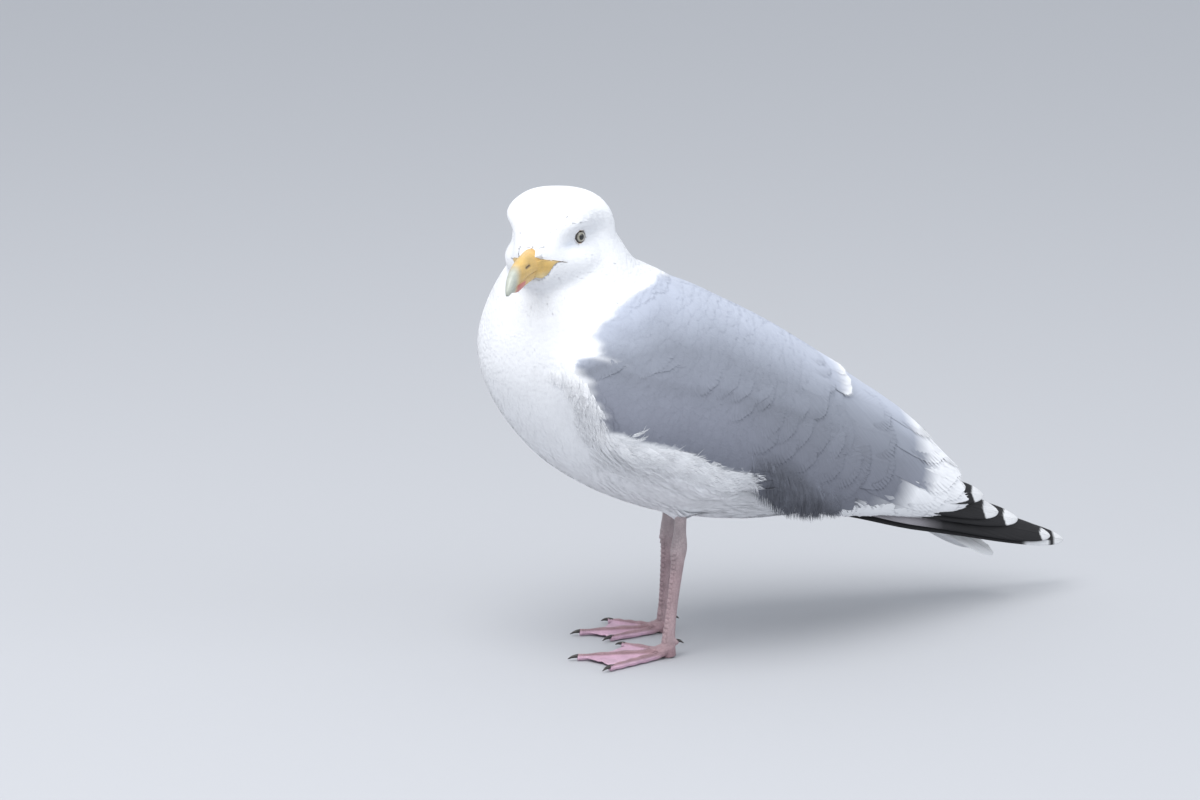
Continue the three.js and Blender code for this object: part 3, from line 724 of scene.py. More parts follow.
# ------------------------------------------------------------------ making pieces
def piece(name, points, faces, material, replaced=(), numbers=None, colour=None, uv=None):
    """A finished mesh from points in the bird's frame, riding on the root. faces is a list, or an array of
    triangles."""
    mesh = bpy.data.meshes.new(name)
    points = (np.asarray(points, float) + PLACE) * MM
    if isinstance(faces, np.ndarray):
        mesh.vertices.add(len(points))
        set_points(mesh, points)
        mesh.loops.add(faces.size)
        mesh.loops.foreach_set("vertex_index", faces.astype(np.int32).ravel())
        mesh.polygons.add(len(faces))
        mesh.polygons.foreach_set("loop_start", np.arange(0, faces.size, faces.shape[1], dtype=np.int32))
        mesh.update(calc_edges=True)
    else:
        mesh.from_pydata(points.tolist(), [], faces)
    mesh.polygons.foreach_set("use_smooth", np.full(len(mesh.polygons), True))
    for key, values in (numbers or {}).items():
        mesh.attributes.new(key, "FLOAT", "POINT").data.foreach_set("value", np.asarray(values, np.float32).ravel())
    if colour is not None:
        rgba = np.ones((len(points), 4), np.float32)
        rgba[:, :3] = colour
        mesh.attributes.new("dye_and_painted_shade", "FLOAT_COLOR", "POINT").data.foreach_set("color", rgba.ravel())
    if uv is not None:
        corners = read(mesh.loops, "vertex_index", 1, np.int32).ravel()
        mesh.uv_layers.new(name="OFBake").data.foreach_set("uv", uv[corners].astype(np.float32).ravel())
    mesh.materials.append(material)
    made = placed(name, mesh)
    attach(made, "root")
    if replaced:
        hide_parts(*replaced)


# ------------------------------------------------------------------ vanes
SPINE_STOPS = 5
VANE_ASPECT, TIP_FAN = 3.4, math.radians(78)  # a vane's length in half widths, and how far its outer locks turn
# how far a loose lock strays along, across and up from its place, as shares of the feather
LOOSE_ALONG, LOOSE_ACROSS, LOOSE_UP = 0.05, 0.12, 0.11


def vane_pattern(rows, widths, columns, locks, start, sweep, reach, lock_width, halves=2):
    """One feather drawn flat: s runs from root to tip, v from edge to edge. Its tip is parted into locks.
    start and reach say where a middle lock begins and ends, sweep how far down the sides the locks go."""
    s, v, lock, faces = [], [], [], []
    across = np.linspace(-1, 1, columns)
    for at, wide in zip(rows, widths):
        for c in across:
            s.append(at - 0.04 * (1 - wide) * abs(c))
            v.append(c * wide)
            lock.append(-1)
    for i in range(len(rows) - 1):
        for j in range(columns - 1):
            a = i * columns + j
            faces += [(a, a + columns, a + columns + 1), (a, a + columns + 1, a + 1)]
    weight = [0.0] * len(s)
    for k in range(locks):
        u = -1 + 2 * (k + 0.5) / locks
        turn = u * TIP_FAN
        base = np.array([start - sweep * abs(u) ** 1.8, 0.8 * math.sin(turn)])
        tip = np.array([1 - (1 - start) * 0.55 * abs(u) ** 2.2 - sweep * 0.55 * abs(u) ** 1.8, 1.06 * math.sin(turn)])
        tip = base + (tip - base) * reach
        d = (tip - base) * [VANE_ASPECT, 1]
        d /= np.linalg.norm(d)
        perp = np.array([-d[1] / VANE_ASPECT, d[0]])
        first = len(s)
        for m in range(halves):
            share, wide = m / halves, lock_width * (1 - 0.55 * (m / halves) ** 1.5)
            for sign in (-1, 1):
                q = base + (tip - base) * share + perp * sign * wide
                s.append(q[0])
                v.append(q[1])
                lock.append(k)
                weight.append(0.25 * share)
        s.append(tip[0])
        v.append(tip[1])
        lock.append(k)
        weight.append(1.0)
        for m in range(halves - 1):
            a = first + 2 * m
            faces += [(a, a + 2, a + 3), (a, a + 3, a + 1)]
        a = first + 2 * (halves - 1)
        faces.append((a, len(s) - 1, a + 1))
    return {"s": np.array(s), "v": np.array(v), "lock": np.array(lock), "weight": np.array(weight),
            "faces": np.array(faces), "locks": max(locks, 1)}


SPECK = vane_pattern([0, 0.45, 0.8], [0.45, 1.0, 0.75], 3, 5, 0.7, 0.25, 1.0, 0.2, halves=1)
PLUME = vane_pattern([0, 0.3, 0.55, 0.76], [0.35, 0.85, 1.0, 0.8], 3, 11, 0.66, 0.3, 1.0, 0.1)
WISP = vane_pattern([0, 0.25, 0.45, 0.6], [0.35, 0.8, 0.9, 0.6], 3, 15, 0.45, 0.3, 1.05, 0.065, halves=3)
TUFT = vane_pattern([0, 0.2, 0.36], [0.3, 0.6, 0.4], 3, 7, 0.3, 0.12, 1.1, 0.13, halves=4)
COVERT = vane_pattern([0, 0.18, 0.38, 0.58, 0.74, 0.86, 0.945, 0.985], [0.35, 0.75, 0.94, 1.0, 0.98, 0.84, 0.56, 0.25],
                      5, 17, 0.9, 0.2, 0.9, 0.055)


def stops_at(s):
    """Weights that read a smooth curve through the spine's stops at s."""
    stops = np.linspace(0, 1, SPINE_STOPS)
    weights = np.ones((len(s), SPINE_STOPS))
    for m in range(SPINE_STOPS):
        for j in range(SPINE_STOPS):
            if j != m:
                weights[:, m] *= (s - stops[j]) / (stops[m] - stops[j])
    return weights


def spines_over(places, ways, lengths, follow, sway):
    """Spines that creep over the outline from their roots, turning towards the lie of the plumage."""
    place, normal = on_outline(places)
    way = laid_flat(ways, normal)
    line, facing = [place], [normal]
    for _ in range(SPINE_STOPS - 1):
        place, normal = on_outline(place + way * (lengths / (SPINE_STOPS - 1))[:, None])
        way = unit(way * (1 - follow) + lie(place, normal) * follow)
        way = laid_flat(unit(way + np.cross(normal, way) * sway[:, None]), normal)
        line.append(place)
        facing.append(normal)
    return np.stack(line, 1), np.stack(facing, 1)


def vanes(pattern, line, facing, half_width, root_depth, tip_lift, droop, ruffle, hug, tilt=0.0, power=0.45, curl=0.0):
    """Feathers of one pattern along the given spines. Sizes may be one number or one for each feather. A hugging
    feather lies on the outline over its whole width."""
    count = len(line)
    column = lambda value: np.broadcast_to(np.asarray(value, float), count)[:, None]
    s, v, weight = pattern["s"], pattern["v"], pattern["weight"]
    loose = rng.normal(size=(count, pattern["locks"], 3))[:, pattern["lock"].clip(0)] * weight[None, :, None]
    along = s[None] + loose[..., 0] * LOOSE_ALONG * ruffle
    weights = stops_at(s.clip(0, 1))
    centre = np.einsum("km,nmc->nkc", weights, line)
    ahead, behind = stops_at((s + 0.03).clip(0, 1)), stops_at((s - 0.03).clip(0, 1))
    tangent = unit(np.einsum("km,nmc->nkc", ahead - behind, line))
    normal = unit(np.einsum("km,nmc->nkc", weights, facing))
    side = unit(np.cross(normal, tangent))
    length = np.linalg.norm(np.diff(line, axis=1), axis=2).sum(1)
    centre = centre + tangent * ((along - s[None].clip(0, 1)) * length[:, None])[..., None]
    across = v[None] * column(half_width) + loose[..., 1] * LOOSE_ACROSS * ruffle * column(half_width)
    bend = column(curl) * weight[None] ** 2
    points = centre + side * (across + bend * (1 + 0.6 * loose[..., 0]))[..., None]
    if hug:
        points, normal = on_outline(points)
    height = (column(tip_lift) + column(root_depth)) * np.clip(s, 0, 1)[None] ** power - column(root_depth)
    height = height - column(droop) * column(half_width) * v[None] ** 2 + column(tilt) * column(half_width) * v[None]
    height = height + np.abs(loose[..., 2]) * LOOSE_UP * ruffle * column(half_width)
    points = points + normal * height[..., None]
    pick = rng.random(count)
    shape = (count, len(s))
    return {"points": points, "faces": pattern["faces"], "roots": line[:, 0], "along": np.broadcast_to(s, shape),
            "across": np.broadcast_to(v, shape), "pick": np.broadcast_to(pick[:, None], shape)}


def unwrap(points):
    """Where a place on the skin lies when the skin is opened out: round the body's line, and along it."""
    gap = np.linalg.norm(points[:, None] - BODY_PATH[None], axis=2)
    near = gap.argmin(1)
    way = PATH_WAY[near]
    up = unit(np.cross(way, [0, 1.0, 0]))
    up = up * np.sign(up[:, 2:3] + up[:, 0:1] * 0.01)
    off = points - BODY_PATH[near]
    reach = PATH_LENGTH[near] + (off * way).sum(1)
    return np.stack([np.arctan2(off[:, 1], (off * up).sum(1)), reach], -1)


PATCH = 0.003  # size of a feather's patch on the map
MAP_EDGE, MAP_SPAN = 0.02, 0.955  # the part of the map that the opened-out skin takes


def coat_piece(name, layers, material):
    """Joins layers of feathers into one piece, each feather's patch at its root's place on the opened-out skin."""
    flat = unwrap(np.vstack([layer["roots"] for layer in layers]))
    low, high = flat.min(0), flat.max(0)
    corners = MAP_EDGE + MAP_SPAN * (flat - low) / np.maximum(high - low, 1e-6)
    points, faces, uv, colour, start, first = [], [], [], [], 0, 0
    for layer in layers:
        count, each = layer["points"].shape[:2]
        points.append(layer["points"].reshape(-1, 3))
        faces.append((layer["faces"][None] + (start + each * np.arange(count))[:, None, None]).reshape(-1, 3))
        patch = np.stack([0.5 + layer["across"] / 2.4, layer["along"]], -1).clip(0, 1) * PATCH
        uv.append((corners[first:first + count][:, None] + patch).reshape(-1, 2))
        colour.append(layer["dye_and_painted_shade"].reshape(-1, 3) if "dye_and_painted_shade" in layer else dye_and_painted_shade(points[-1]))
        start, first = start + count * each, first + count
    numbers = {key: np.concatenate([layer[key].ravel() for layer in layers]) for key in ("along", "across", "pick")}
    piece(name, np.vstack(points), np.vstack(faces), material, (), numbers, np.vstack(colour).clip(0, 1),
          np.vstack(uv))


# ------------------------------------------------------------------ skin
EYE_LOOK = unit(np.array([0.46, 0.88, 0.06]))  # the way the left eye looks out, head frame
# radii about the line the eye looks along: the opening, the bare ring's crest, the fold round it, the lids' end
LID_INNER, LID_RING, LID_FOLD, LID_OUTER = 3.2, 3.85, 4.95, 5.2
LID_GAP, SUNK = 0.25, 6.6  # least space between skin and eyeball, and the skin's radius behind the opening


def eye_reach(points, side):
    """For points of the head: distance from an eye's centre, off the line it looks along, and ahead along it."""
    off = to_head(points) - mirrored(EYE_CENTRE, side)
    gap, ahead = np.linalg.norm(off, axis=1), off @ mirrored(EYE_LOOK, side)
    return gap, np.sqrt((gap**2 - ahead**2).clip(0)), ahead


def set_lids(points):
    """Draws the skin close over each eyeball, with a raised bare ring round the opening."""
    closest = EYE_RADIUS + LID_GAP
    for side in SIDES.values():
        gap, off_axis, ahead = eye_reach(points, side)
        ring = EYE_RADIUS + 0.8 * np.exp(-(((off_axis - LID_RING) / 0.4) ** 2)) + 0.15
        fold = -0.25 * np.exp(-(((off_axis - LID_FOLD) / 0.35) ** 2))
        target = np.where(off_axis < LID_INNER, SUNK, ring + fold)
        share = 1 - ease(off_axis, LID_OUTER, 9.5)
        new = np.where(off_axis < LID_OUTER, target, gap * (1 - share) + np.maximum(target, closest) * share)
        new = np.where((gap < 17) & (ahead > 0), new, gap)
        new = np.where((gap < closest) & (ahead <= 0), closest, new)
        centre = from_head(mirrored(EYE_CENTRE, side))
        points = centre + (points - centre) * (new / np.maximum(gap, 1e-6))[:, None]
    return points


def skin_shape():
    mesh = fused([*flesh, *(wing_shape(side, -150, 40) for side in SIDES.values())], PLUMAGE_CELL)
    bm = bmesh.new()
    bm.from_mesh(mesh)
    centres = [from_head(mirrored(EYE_CENTRE + EYE_LOOK * EYE_RADIUS, s)) for s in SIDES.values()]
    for reach in (12.0, 8.0):
        close = {v for v in bm.verts if min(np.linalg.norm(np.array(v.co) - c) for c in centres) < reach}
        edges = [e for e in bm.edges if e.verts[0] in close and e.verts[1] in close]
        bmesh.ops.subdivide_edges(bm, edges=edges, cuts=1, use_grid_fill=True)
    bmesh.ops.triangulate(bm, faces=[f for f in bm.faces if len(f.verts) > 4])
    bm.to_mesh(mesh)
    bm.free()
    edges = edges_of(mesh)
    points = relax(points_of(mesh), edges, 5)
    set_points(mesh, points)
    mesh.update()
    normals = relax(normals_of(mesh), edges, 3)
    points = points - unit(normals) * (coat_depth(points) + 0.4)[:, None]
    points = relax(points, edges, 2, weight=ease(from_bill(points), 40, 60))
    near, out = on_outline(points)
    high = ((points - near) * out).sum(1) + np.minimum(coat_depth(points), 1.0) + 0.3
    points = points - out * (high.clip(0) * ease(from_bill(points), 75, 95))[:, None]
    return set_lids(points), faces_of(mesh)


BARE_RING, LID_EDGE = np.array([0.60, 0.42, 0.28]), np.array([0.07, 0.06, 0.05])


def skin_tints(points):
    """The skin carries the plumage's markings and painted shade, with the bare ring round each eye."""
    colour = dye_and_painted_shade(points)
    for side in SIDES.values():
        gap, off_axis, ahead = eye_reach(points, side)
        for tint, start, end in ((BARE_RING, 4.2, 4.6), (LID_EDGE, 3.15, 3.4)):
            share = ((1 - ease(off_axis, start, end)) * (ahead > 0) * (gap < 12))[:, None]
            colour = colour * (1 - share) + tint * share
    return colour


def skin_finish():
    made, b, shader = finish("feathered_skin", Roughness=0.8, Specular_IOR_Level=0.3)
    grain = b.use(GRAIN, {"Patch": 60.0, "Speck": 1400.0})
    coloured_with(b, shader, b.band(grain["Specks"], 0.3, 0.7, 0.88, 1.0) * b.band(grain["Patches"], 0.3, 0.7, 0.95, 1.0))
    feed(shader["Roughness"], b.band(grain["Specks"], 0.3, 0.7, 0.85, 0.6))
    raised(b, shader, grain["Specks"], 0.0003)
    return made


skin_points, skin_faces = skin_shape()
piece("skin", skin_points, skin_faces, skin_finish(),
      ["head", "neck", "trunk", "thigh_left", "thigh_right", "wing_left", "wing_right"], colour=skin_tints(skin_points))


# ------------------------------------------------------------------ where feathers stand
TRIES, ROOT_CELL = 14.0, 2.0  # roots tried on the area that one takes up, and the size of a cell of the search


def spread_roots(spacing_of, allowed):
    """Roots spread over the outline, none closer to another than its own spacing."""
    tris = np.array([t for f in outline_faces for t in ((f[0], f[1], f[2]), (f[0], f[2], f[-1]))])
    a, b, c = (outline_points[tris[:, k]] for k in range(3))
    area = np.linalg.norm(np.cross(b - a, c - a), axis=1) / 2
    middle = (a + b + c) / 3
    count = rng.poisson(area * allowed(middle) * TRIES / spacing_of(middle)**2)
    face = np.repeat(np.arange(len(tris)), count)
    u, v = rng.random(len(face)), rng.random(len(face))
    flip = u + v > 1
    u[flip], v[flip] = 1 - u[flip], 1 - v[flip]
    points = a[face] + (b - a)[face] * u[:, None] + (c - a)[face] * v[:, None]
    gaps = spacing_of(points)
    order = rng.permutation(len(points))
    kept, grid, listed, gap_list = [], {}, points.tolist(), gaps.tolist()
    for i in order.tolist():
        (x, y, z), gap = listed[i], gap_list[i]
        reach = int(gap // ROOT_CELL) + 1
        cell = [int(c // ROOT_CELL) for c in listed[i]]
        around = product(*(range(c - reach, c + reach + 1) for c in cell))
        if any((px - x) ** 2 + (py - y) ** 2 + (pz - z) ** 2 < gap * gap
               for near in around if near in grid for px, py, pz in grid[near]):
            continue
        grid.setdefault(tuple(cell), []).append((x, y, z))
        kept.append(i)
    return points[kept]


def near_eye(points, reach):
    close = np.zeros(len(points), bool)
    for side in SIDES.values():
        gap, off_axis, ahead = eye_reach(points, side)
        close |= (off_axis < reach) & (ahead > 0) & (gap < 14)
    return close


def in_bill(points, margin=0.8):
    """Where the bill's base comes out of the plumage."""
    h = to_head(points)
    share = (h[:, 0] - BILL_BASE) / BILL_LENGTH
    top, _, half = smooth_table(UPPER_BILL, share.clip(-0.3, 1)).T
    _, low, _ = smooth_table(LOWER_BILL, share.clip(-0.3, 0.9)).T
    return (h[:, 2] < top + margin) & (h[:, 2] > low - margin) & (np.abs(h[:, 1]) < half + margin) & (h[:, 0] > 8)


# the gape's strip: [x, upper edge y, z, lower edge y, z], head frame, left side, from the bill backwards
GAPE = np.array([
    [39.5, 5.2, -5.8, 4.4, -15.4], [36.5, 6.9, -5.3, 6.5, -16.8], [33.5, 8.4, -5.5, 8.4, -17.8],
    [31, 9.9, -6.1, 10.0, -17.0], [29, 11.5, -6.7, 11.8, -14.2], [27, 13.2, -7.2, 13.3, -11.2],
    [24.9, 15.2, -8.2, 15.2, -9.6], [22, 17.4, -9.5, 17.4, -10.0], [19, 19.6, -10.7, 19.6, -11.0],
], float)


def in_gape(points):
    """Over the strip of bare yellow skin that runs from the bill back to the corner of the mouth."""
    h = to_head(points)
    x, y, z = h[:, 0], np.abs(h[:, 1]), h[:, 2]
    top, low = (np.interp(x, GAPE[::-1, 0], GAPE[::-1, k]) for k in (2, 4))
    return (x > 16) & (x < 38) & (y > 4) & (z < top + 0.3) & (z > low - 0.3)


def bare_of_face(points):
    return ~in_bill(points) & ~near_eye(points, 4.6) & ~in_gape(points)


def coat_run(pattern, allowed, spacing, width, ruffle, lift, depth, droop, length=vane_length, jitter=0.07, turn=0.0,
             plain=False, hug=False, follow=0.3, power=0.45, sway=0.0, curl=0.0):
    """Feathers spread over part of the outline. spacing and width are shares of a feather's length. turn lifts
    its heading towards the back and sway bends it on the way, in radians, up the bird's side."""
    roots = spread_roots(lambda p: spacing * length(p), allowed)
    place, normal = on_outline(roots)
    way = lie(place, normal)
    across = np.cross(normal, way)
    up = np.sign(across[:, 2])
    value = lambda given: given(roots) if callable(given) else given * np.ones(len(roots))
    way = unit(way + across * (rng.normal(0, jitter, len(way)) + up * value(turn))[:, None])
    lengths = length(roots) * rng.uniform(0.9, 1.1, len(roots))
    reach = np.ones(len(roots))
    for share in np.linspace(1.0, 0.1, 10):  # feathers in front of an eye or of the bill's base stop short of it
        at = roots + way * (lengths * share)[:, None]
        reach = np.where(near_eye(at, 4.9), share - 0.1, reach)
    keep = reach > 0.25
    place, way, lengths, roots, up = (a[keep] for a in (place, way, lengths * reach, roots, up))
    line, facing = spines_over(place, way, lengths, follow, rng.normal(0, 0.03, len(roots)) + up * value(sway))
    lifts = value(lift) if callable(lift) else lift * rng.uniform(0.0, 1.5, len(roots))
    made = vanes(pattern, line, facing, lengths * width, depth(roots), lifts, droop, ruffle, hug, power=power,
                 curl=up * value(curl))
    if plain:
        made["dye_and_painted_shade"] = np.broadcast_to(WHITE, made["points"].shape)
    return made


white_coat = plumage_finish("white_plumage", 46.0, 0.12, 0.035, 0.00006, 0.8)
grey_coat = plumage_finish("grey_plumage", 60.0, 0.12, 0.07, 0.00009, 0.72, shaft_tone=0.03)


def bill_zone(low, high):
    """Allows roots between two distances from the bill, off the bare skin and the grey."""
    def allowed(points):
        reach = from_bill(points)
        feathered = bare_of_face(points) & (mantle_share(points) < 0.8) & ~on_wing(points, 3.0)
        return (reach >= low) & (reach < high) & feathered
    return allowed


def shallow(points):
    return 0.18 * coat_depth(points)


def face_depth(points):
    """Full depth at the bill's base, where the feathers end against the horn, shallow behind it."""
    return np.interp(from_bill(points), [6, 15], [1.0, 0.35]) * coat_depth(points)


# piece, pattern, zone, spacing, width, ruffle, lift, depth, droop
WHITE_COATS = [
    ("face_coat", SPECK, bill_zone(0, 42), 0.30, 0.26, 0.08, 0.01, face_depth, 0.05),
    ("head_coat", PLUME, bill_zone(38, 97), 0.27, 0.27, 0.05, 0.01, shallow, 0.02),
    ("neck_coat", PLUME, bill_zone(87, 150), 0.215, 0.34, 0.03, 0.01, shallow, 0.01),
    ("body_coat", WISP, bill_zone(139, 600), 0.2, 0.34, 0.04, 0.02, shallow, 0.01),
]
for name, *sizes in WHITE_COATS:
    coat_piece(name, [coat_run(*sizes)], white_coat)


# ------------------------------------------------------------------ flank and breast feathers over the wing's edges
def evenly(value):
    return lambda points: np.full(len(points), float(value))


def flank_zone(points):
    x, off = points[:, 0], points[:, 2] - flank_edge(points[:, 0])
    return (x > -13) & (x < 86) & (off > -26) & (off < -3) & (np.abs(points[:, 1]) > 34)


def breast_zone(points):
    x, z = points[:, 0], points[:, 2]
    edge = np.interp(z, *SIDE_BORDER.T)
    return (x > edge + 1) & (x < edge + 10) & (z > 154) & (z < 209) & (np.abs(points[:, 1]) > 42)


def curl_zone(points):
    x, z = points[:, 0], points[:, 2]
    return (x > 72) & (x < 84) & (z > 154) & (z < 164) & (np.abs(points[:, 1]) > 50)


def varied(middle, spread):
    return lambda points: rng.normal(middle, spread, len(points))


def flank_lift(points):
    """The flank's tips stand up most along its upper edge."""
    rise = rng.uniform(0.1, 3.2, len(points))
    return 0.05 + rise * ease(points[:, 2] - flank_edge(points[:, 0]), -24, -6)


loose = dict(droop=0.06, depth=evenly(1.0), plain=True, power=0.6)
flank = coat_run(TUFT, flank_zone, 0.085, 0.13, 0.9, length=evenly(23), jitter=0.14, turn=varied(0.2, 0.12),
                 lift=flank_lift, sway=varied(0.02, 0.06), curl=varied(1.1, 1.4), **loose)
breast = coat_run(TUFT, breast_zone, 0.13, 0.17, 0.9, length=evenly(13), jitter=0.16, turn=-0.1,
                  lift=lambda p: rng.uniform(0.2, 1.8, len(p)), curl=varied(-1.6, 1.2), **loose)
# a few that stand up where breast and flank meet
stray = coat_run(TUFT, curl_zone, 0.2, 0.07, 1.4, length=evenly(19), jitter=0.3, follow=0.0, turn=0.9, sway=0.16,
                 curl=1.5, lift=lambda p: rng.uniform(0.8, 2.4, len(p)), **loose)
loose_coat = plumage_finish("loose_plumage", 24.0, 0.3, 0.11, 0.00015, 0.8)
coat_piece("flank_coat", [flank, breast, stray], loose_coat)


# ------------------------------------------------------------------ back and wing
def grey_zone(points):
    return (points[:, 0] > -92) & on_wing(points, -9.0)


def back_length(points):
    """Long on the wings, shorter towards the nape."""
    return np.interp(points[:, 0], [-60, 40, 100], [30, 23, 14])


back = coat_run(COVERT, grey_zone, 0.212, 0.43, 0.12, length=back_length, lift=0.02, droop=0.0, depth=evenly(0.3),
                jitter=0.05, hug=True)
coat_piece("back_coat", [back], grey_coat)


def along_line(line, count):
    """Places evenly spaced along a run of [x, t] points."""
    line = np.array(line, float)
    step = np.append(0, np.cumsum(np.hypot(np.diff(line[:, 0]), 120 * np.diff(line[:, 1]))))
    at = np.linspace(0, step[-1], count)
    return np.stack([np.interp(at, step, line[:, 0]), np.interp(at, step, line[:, 1])], -1)


# where the coverts' and tertials' white begins: [share down the wing, x]
WHITE_FROM = np.array([[0, -189], [0.1, -193], [0.24, -198], [0.46, -193], [0.6, -181], [0.7, -169], [0.79, -156],
                       [0.88, -145], [1, -127]])
ROW_DROOP = 0.03  # how far the edges of a wing feather fall, as a share of its half width


def wing_row(side, count, roots, tips, width, base, depth=2.2, tilt=0.05, white=0.0, tone=1.0, jitter=1.0, ruffle=0.1,
             pattern=COVERT, fade=0.05, hang=None):
    """A row of feathers on the folded wing, with roots and tips along two lines of [x, t] on the wing's face, the
    upper feathers over the lower. base is the layer's height over the outline, white the share a pale tip takes."""
    root = along_line(roots, count) + rng.normal(size=(count, 2)) * [jitter, 0.004]
    tip = along_line(tips, count) + rng.normal(size=(count, 2)) * [jitter * 1.6, 0.006]
    stops = np.linspace(0, 1, SPINE_STOPS)
    xt = root[:, None] + (tip - root)[:, None] * stops[None, :, None]
    line, facing = on_outline(wing_face(xt[..., 0], xt[..., 1].clip(0.02, 1), side))
    if hang:  # the tips hang below the wing's edge, by lengths given from the front of the row to its back
        length = np.interp(np.linspace(0, 1, count), np.linspace(0, 1, len(hang)), hang)
        drop = length[:, None] * ease(stops, 0.5, 1.0)[None]
        line = line + drop[..., None] * np.array([0, -0.2 * side, -1])
    made = vanes(pattern, line, facing, width / 2, depth, base, ROW_DROOP, ruffle, not hang, tilt=-tilt * side)
    s, edge = made["along"], made["across"]
    x_at, t_at = (xt[:, :1, k] * (1 - s) + xt[:, -1:, k] * s for k in (0, 1))
    sway = rng.normal(0, 2.0, (count, 1))
    pale = ease(np.interp(t_at, *WHITE_FROM.T) - x_at + sway - 3 * edge**2, -4, 5)
    if white:
        pale = np.maximum(pale, ease(s + 0.10 * edge**2, 1 - white - fade, 1 - white + fade))
    tone = tone * (1 + rng.normal(0, 0.12 if hang else 0.025, (count, 1, 1)))
    made["dye_and_painted_shade"] = grey_at(made["points"]) * tone * (1 - pale[..., None]) + WHITE * pale[..., None]
    return made


# count, roots, tips, width and height of each row, then what it has of its own; the lower layers first
WING_ROWS = [
    # greater coverts and tertials with broad white ends
    (8, [(-52, 0.46), (-40, 0.62)], [(-136, 0.56), (-124, 0.72)], 36, 0.15, dict(tilt=0.02)),
    (5, [(-120, 0.20), (-112, 0.88)], [(-233, 0.12), (-233, 0.50), (-222, 0.95)], 30, 0.1, dict(depth=3.0, jitter=2.0)),
    (6, [(-100, 0.10), (-92, 0.84)], [(-216, 0.03), (-220, 0.45), (-206, 0.88), (-186, 0.97)], 44, 0.4,
     dict(depth=3.0, tilt=0.035)),
    # fringed secondaries along the lower edge, darkened with painted shade under the flank feathers, then their white
    # tips
    (50, [(-18, 0.66), (-84, 0.68)], [(-40, 0.99), (-112, 0.99)], 11, 0.45,
     dict(depth=0.8, tone=0.93, ruffle=0.45, pattern=WISP, jitter=2.5, hang=(7, 9, 8, 6, 3, 0))),
    (12, [(-76, 0.84), (-132, 0.87)], [(-104, 0.99), (-176, 0.985)], 18, 0.5,
     dict(depth=2.0, white=0.34, tone=0.75, jitter=1.5, fade=0.1)),
    (3, [(-86, 0.30), (-84, 0.58)], [(-170, 0.22), (-158, 0.56)], 42, 0.35, dict(tilt=0.02)),
    # median coverts over the darker fringed ones
    (5, [(14, 0.46), (-66, 0.46)], [(-36, 0.66), (-116, 0.64)], 40, 0.5, dict(depth=2.4, tilt=0.015, jitter=3.0)),
    (6, [(12, 0.40), (-66, 0.42)], [(-28, 0.57), (-110, 0.53)], 40, 0.4, dict(tilt=0.02, jitter=3.0)),
    # scapulars, the longest with white ends
    (5, [(-60, 0.04), (-30, 0.36)], [(-128, 0.05), (-100, 0.36)], 38, 0.5, dict(tilt=0.03, jitter=2.5)),
    (3, [(-84, 0.03), (-80, 0.15)], [(-140, 0.04), (-136, 0.19)], 30, 0.9, dict(depth=2.6, white=0.13, tilt=0.04)),
    (10, [(86, 0.14), (40, 0.32), (-34, 0.32)], [(60, 0.44), (10, 0.52), (-66, 0.45)], 40, 0.35,
     dict(tilt=0.014, jitter=5.0)),
]
for name, side in SIDES.items():
    rows = [wing_row(side, *sizes, **own) for *sizes, own in WING_ROWS]
    coat_piece("wing_coat_" + name, rows, grey_coat)


# ------------------------------------------------------------------ quills: primaries and tail
QUILL_ROWS, QUILL_COLUMNS, QUILL_THICKNESS = 46, 13, 0.9


def quill(root, tip, bow, width, facing, point):
    """One long stiff feather as a closed blade: domed across, its edge rounded to the tip, with a raised shaft.
    Returns points, faces, and each point's place along and across."""
    a, b = np.array(root, float), np.array(tip, float)
    along = unit(b - a)
    across_way = unit(np.cross(facing, along))
    normal = np.cross(along, across_way)
    length = np.linalg.norm(b - a)
    s = np.concatenate([np.linspace(0, 0.8, QUILL_ROWS - 30), 0.8 + 0.2 * np.sin(np.linspace(0, np.pi / 2, 31))[1:]])
    rounding = np.sqrt((1 - ((s - (1 - point)).clip(0) / point) ** 2.4).clip(0.0004))
    half = (width / 2 * (0.55 + 0.45 * ease(s, 0, 0.35)) * rounding)[:, None]
    v = np.linspace(-1, 1, QUILL_COLUMNS)
    centre = a + along * (s * length)[:, None] + normal * (bow * np.sin(np.pi * s))[:, None]
    dome = -0.10 * half * v[None] ** 2
    shaft = 0.45 * np.exp(-((v / 0.12) ** 2))[None] * (1 - s[:, None] * 0.8)
    thick = QUILL_THICKNESS * (1 - v**2)[None] * 0.35
    flat = centre[:, None] + across_way * (half * v[None])[..., None]
    upper, lower = (flat + normal * height[..., None] for height in (dome + shaft + thick, dome - thick - 0.06))
    points, faces = loft(np.concatenate([upper, lower[:, ::-1]], 1))
    ring_v = np.concatenate([v, v[::-1]])
    alongs = np.append(np.repeat(s, len(ring_v)), [0, 1])
    acrosses = np.append(np.tile(ring_v, len(s)), [0, 0])
    return points, outward(points, faces), alongs, acrosses


def quill_piece(name, blades, material, replaced):
    """Joins blades, each with its own cell of the map, into one piece."""
    points, faces = merge([blade[:2] for blade in blades])
    cells = math.ceil(math.sqrt(len(blades)))
    pick, uv = [], []
    for k, (p, _, along, across, _) in enumerate(blades):
        pick.append(np.full(len(p), rng.random()))
        cell = np.array([k % cells, k // cells]) + 0.04
        uv.append((cell + np.stack([0.46 + 0.46 * across, 0.92 * along], -1)) / cells)
    _, _, along, across, paint = zip(*blades)
    numbers = {"along": np.concatenate(along), "across": np.concatenate(across), "pick": np.concatenate(pick)}
    piece(name, points, faces, material, replaced, numbers, np.vstack(paint), np.vstack(uv))


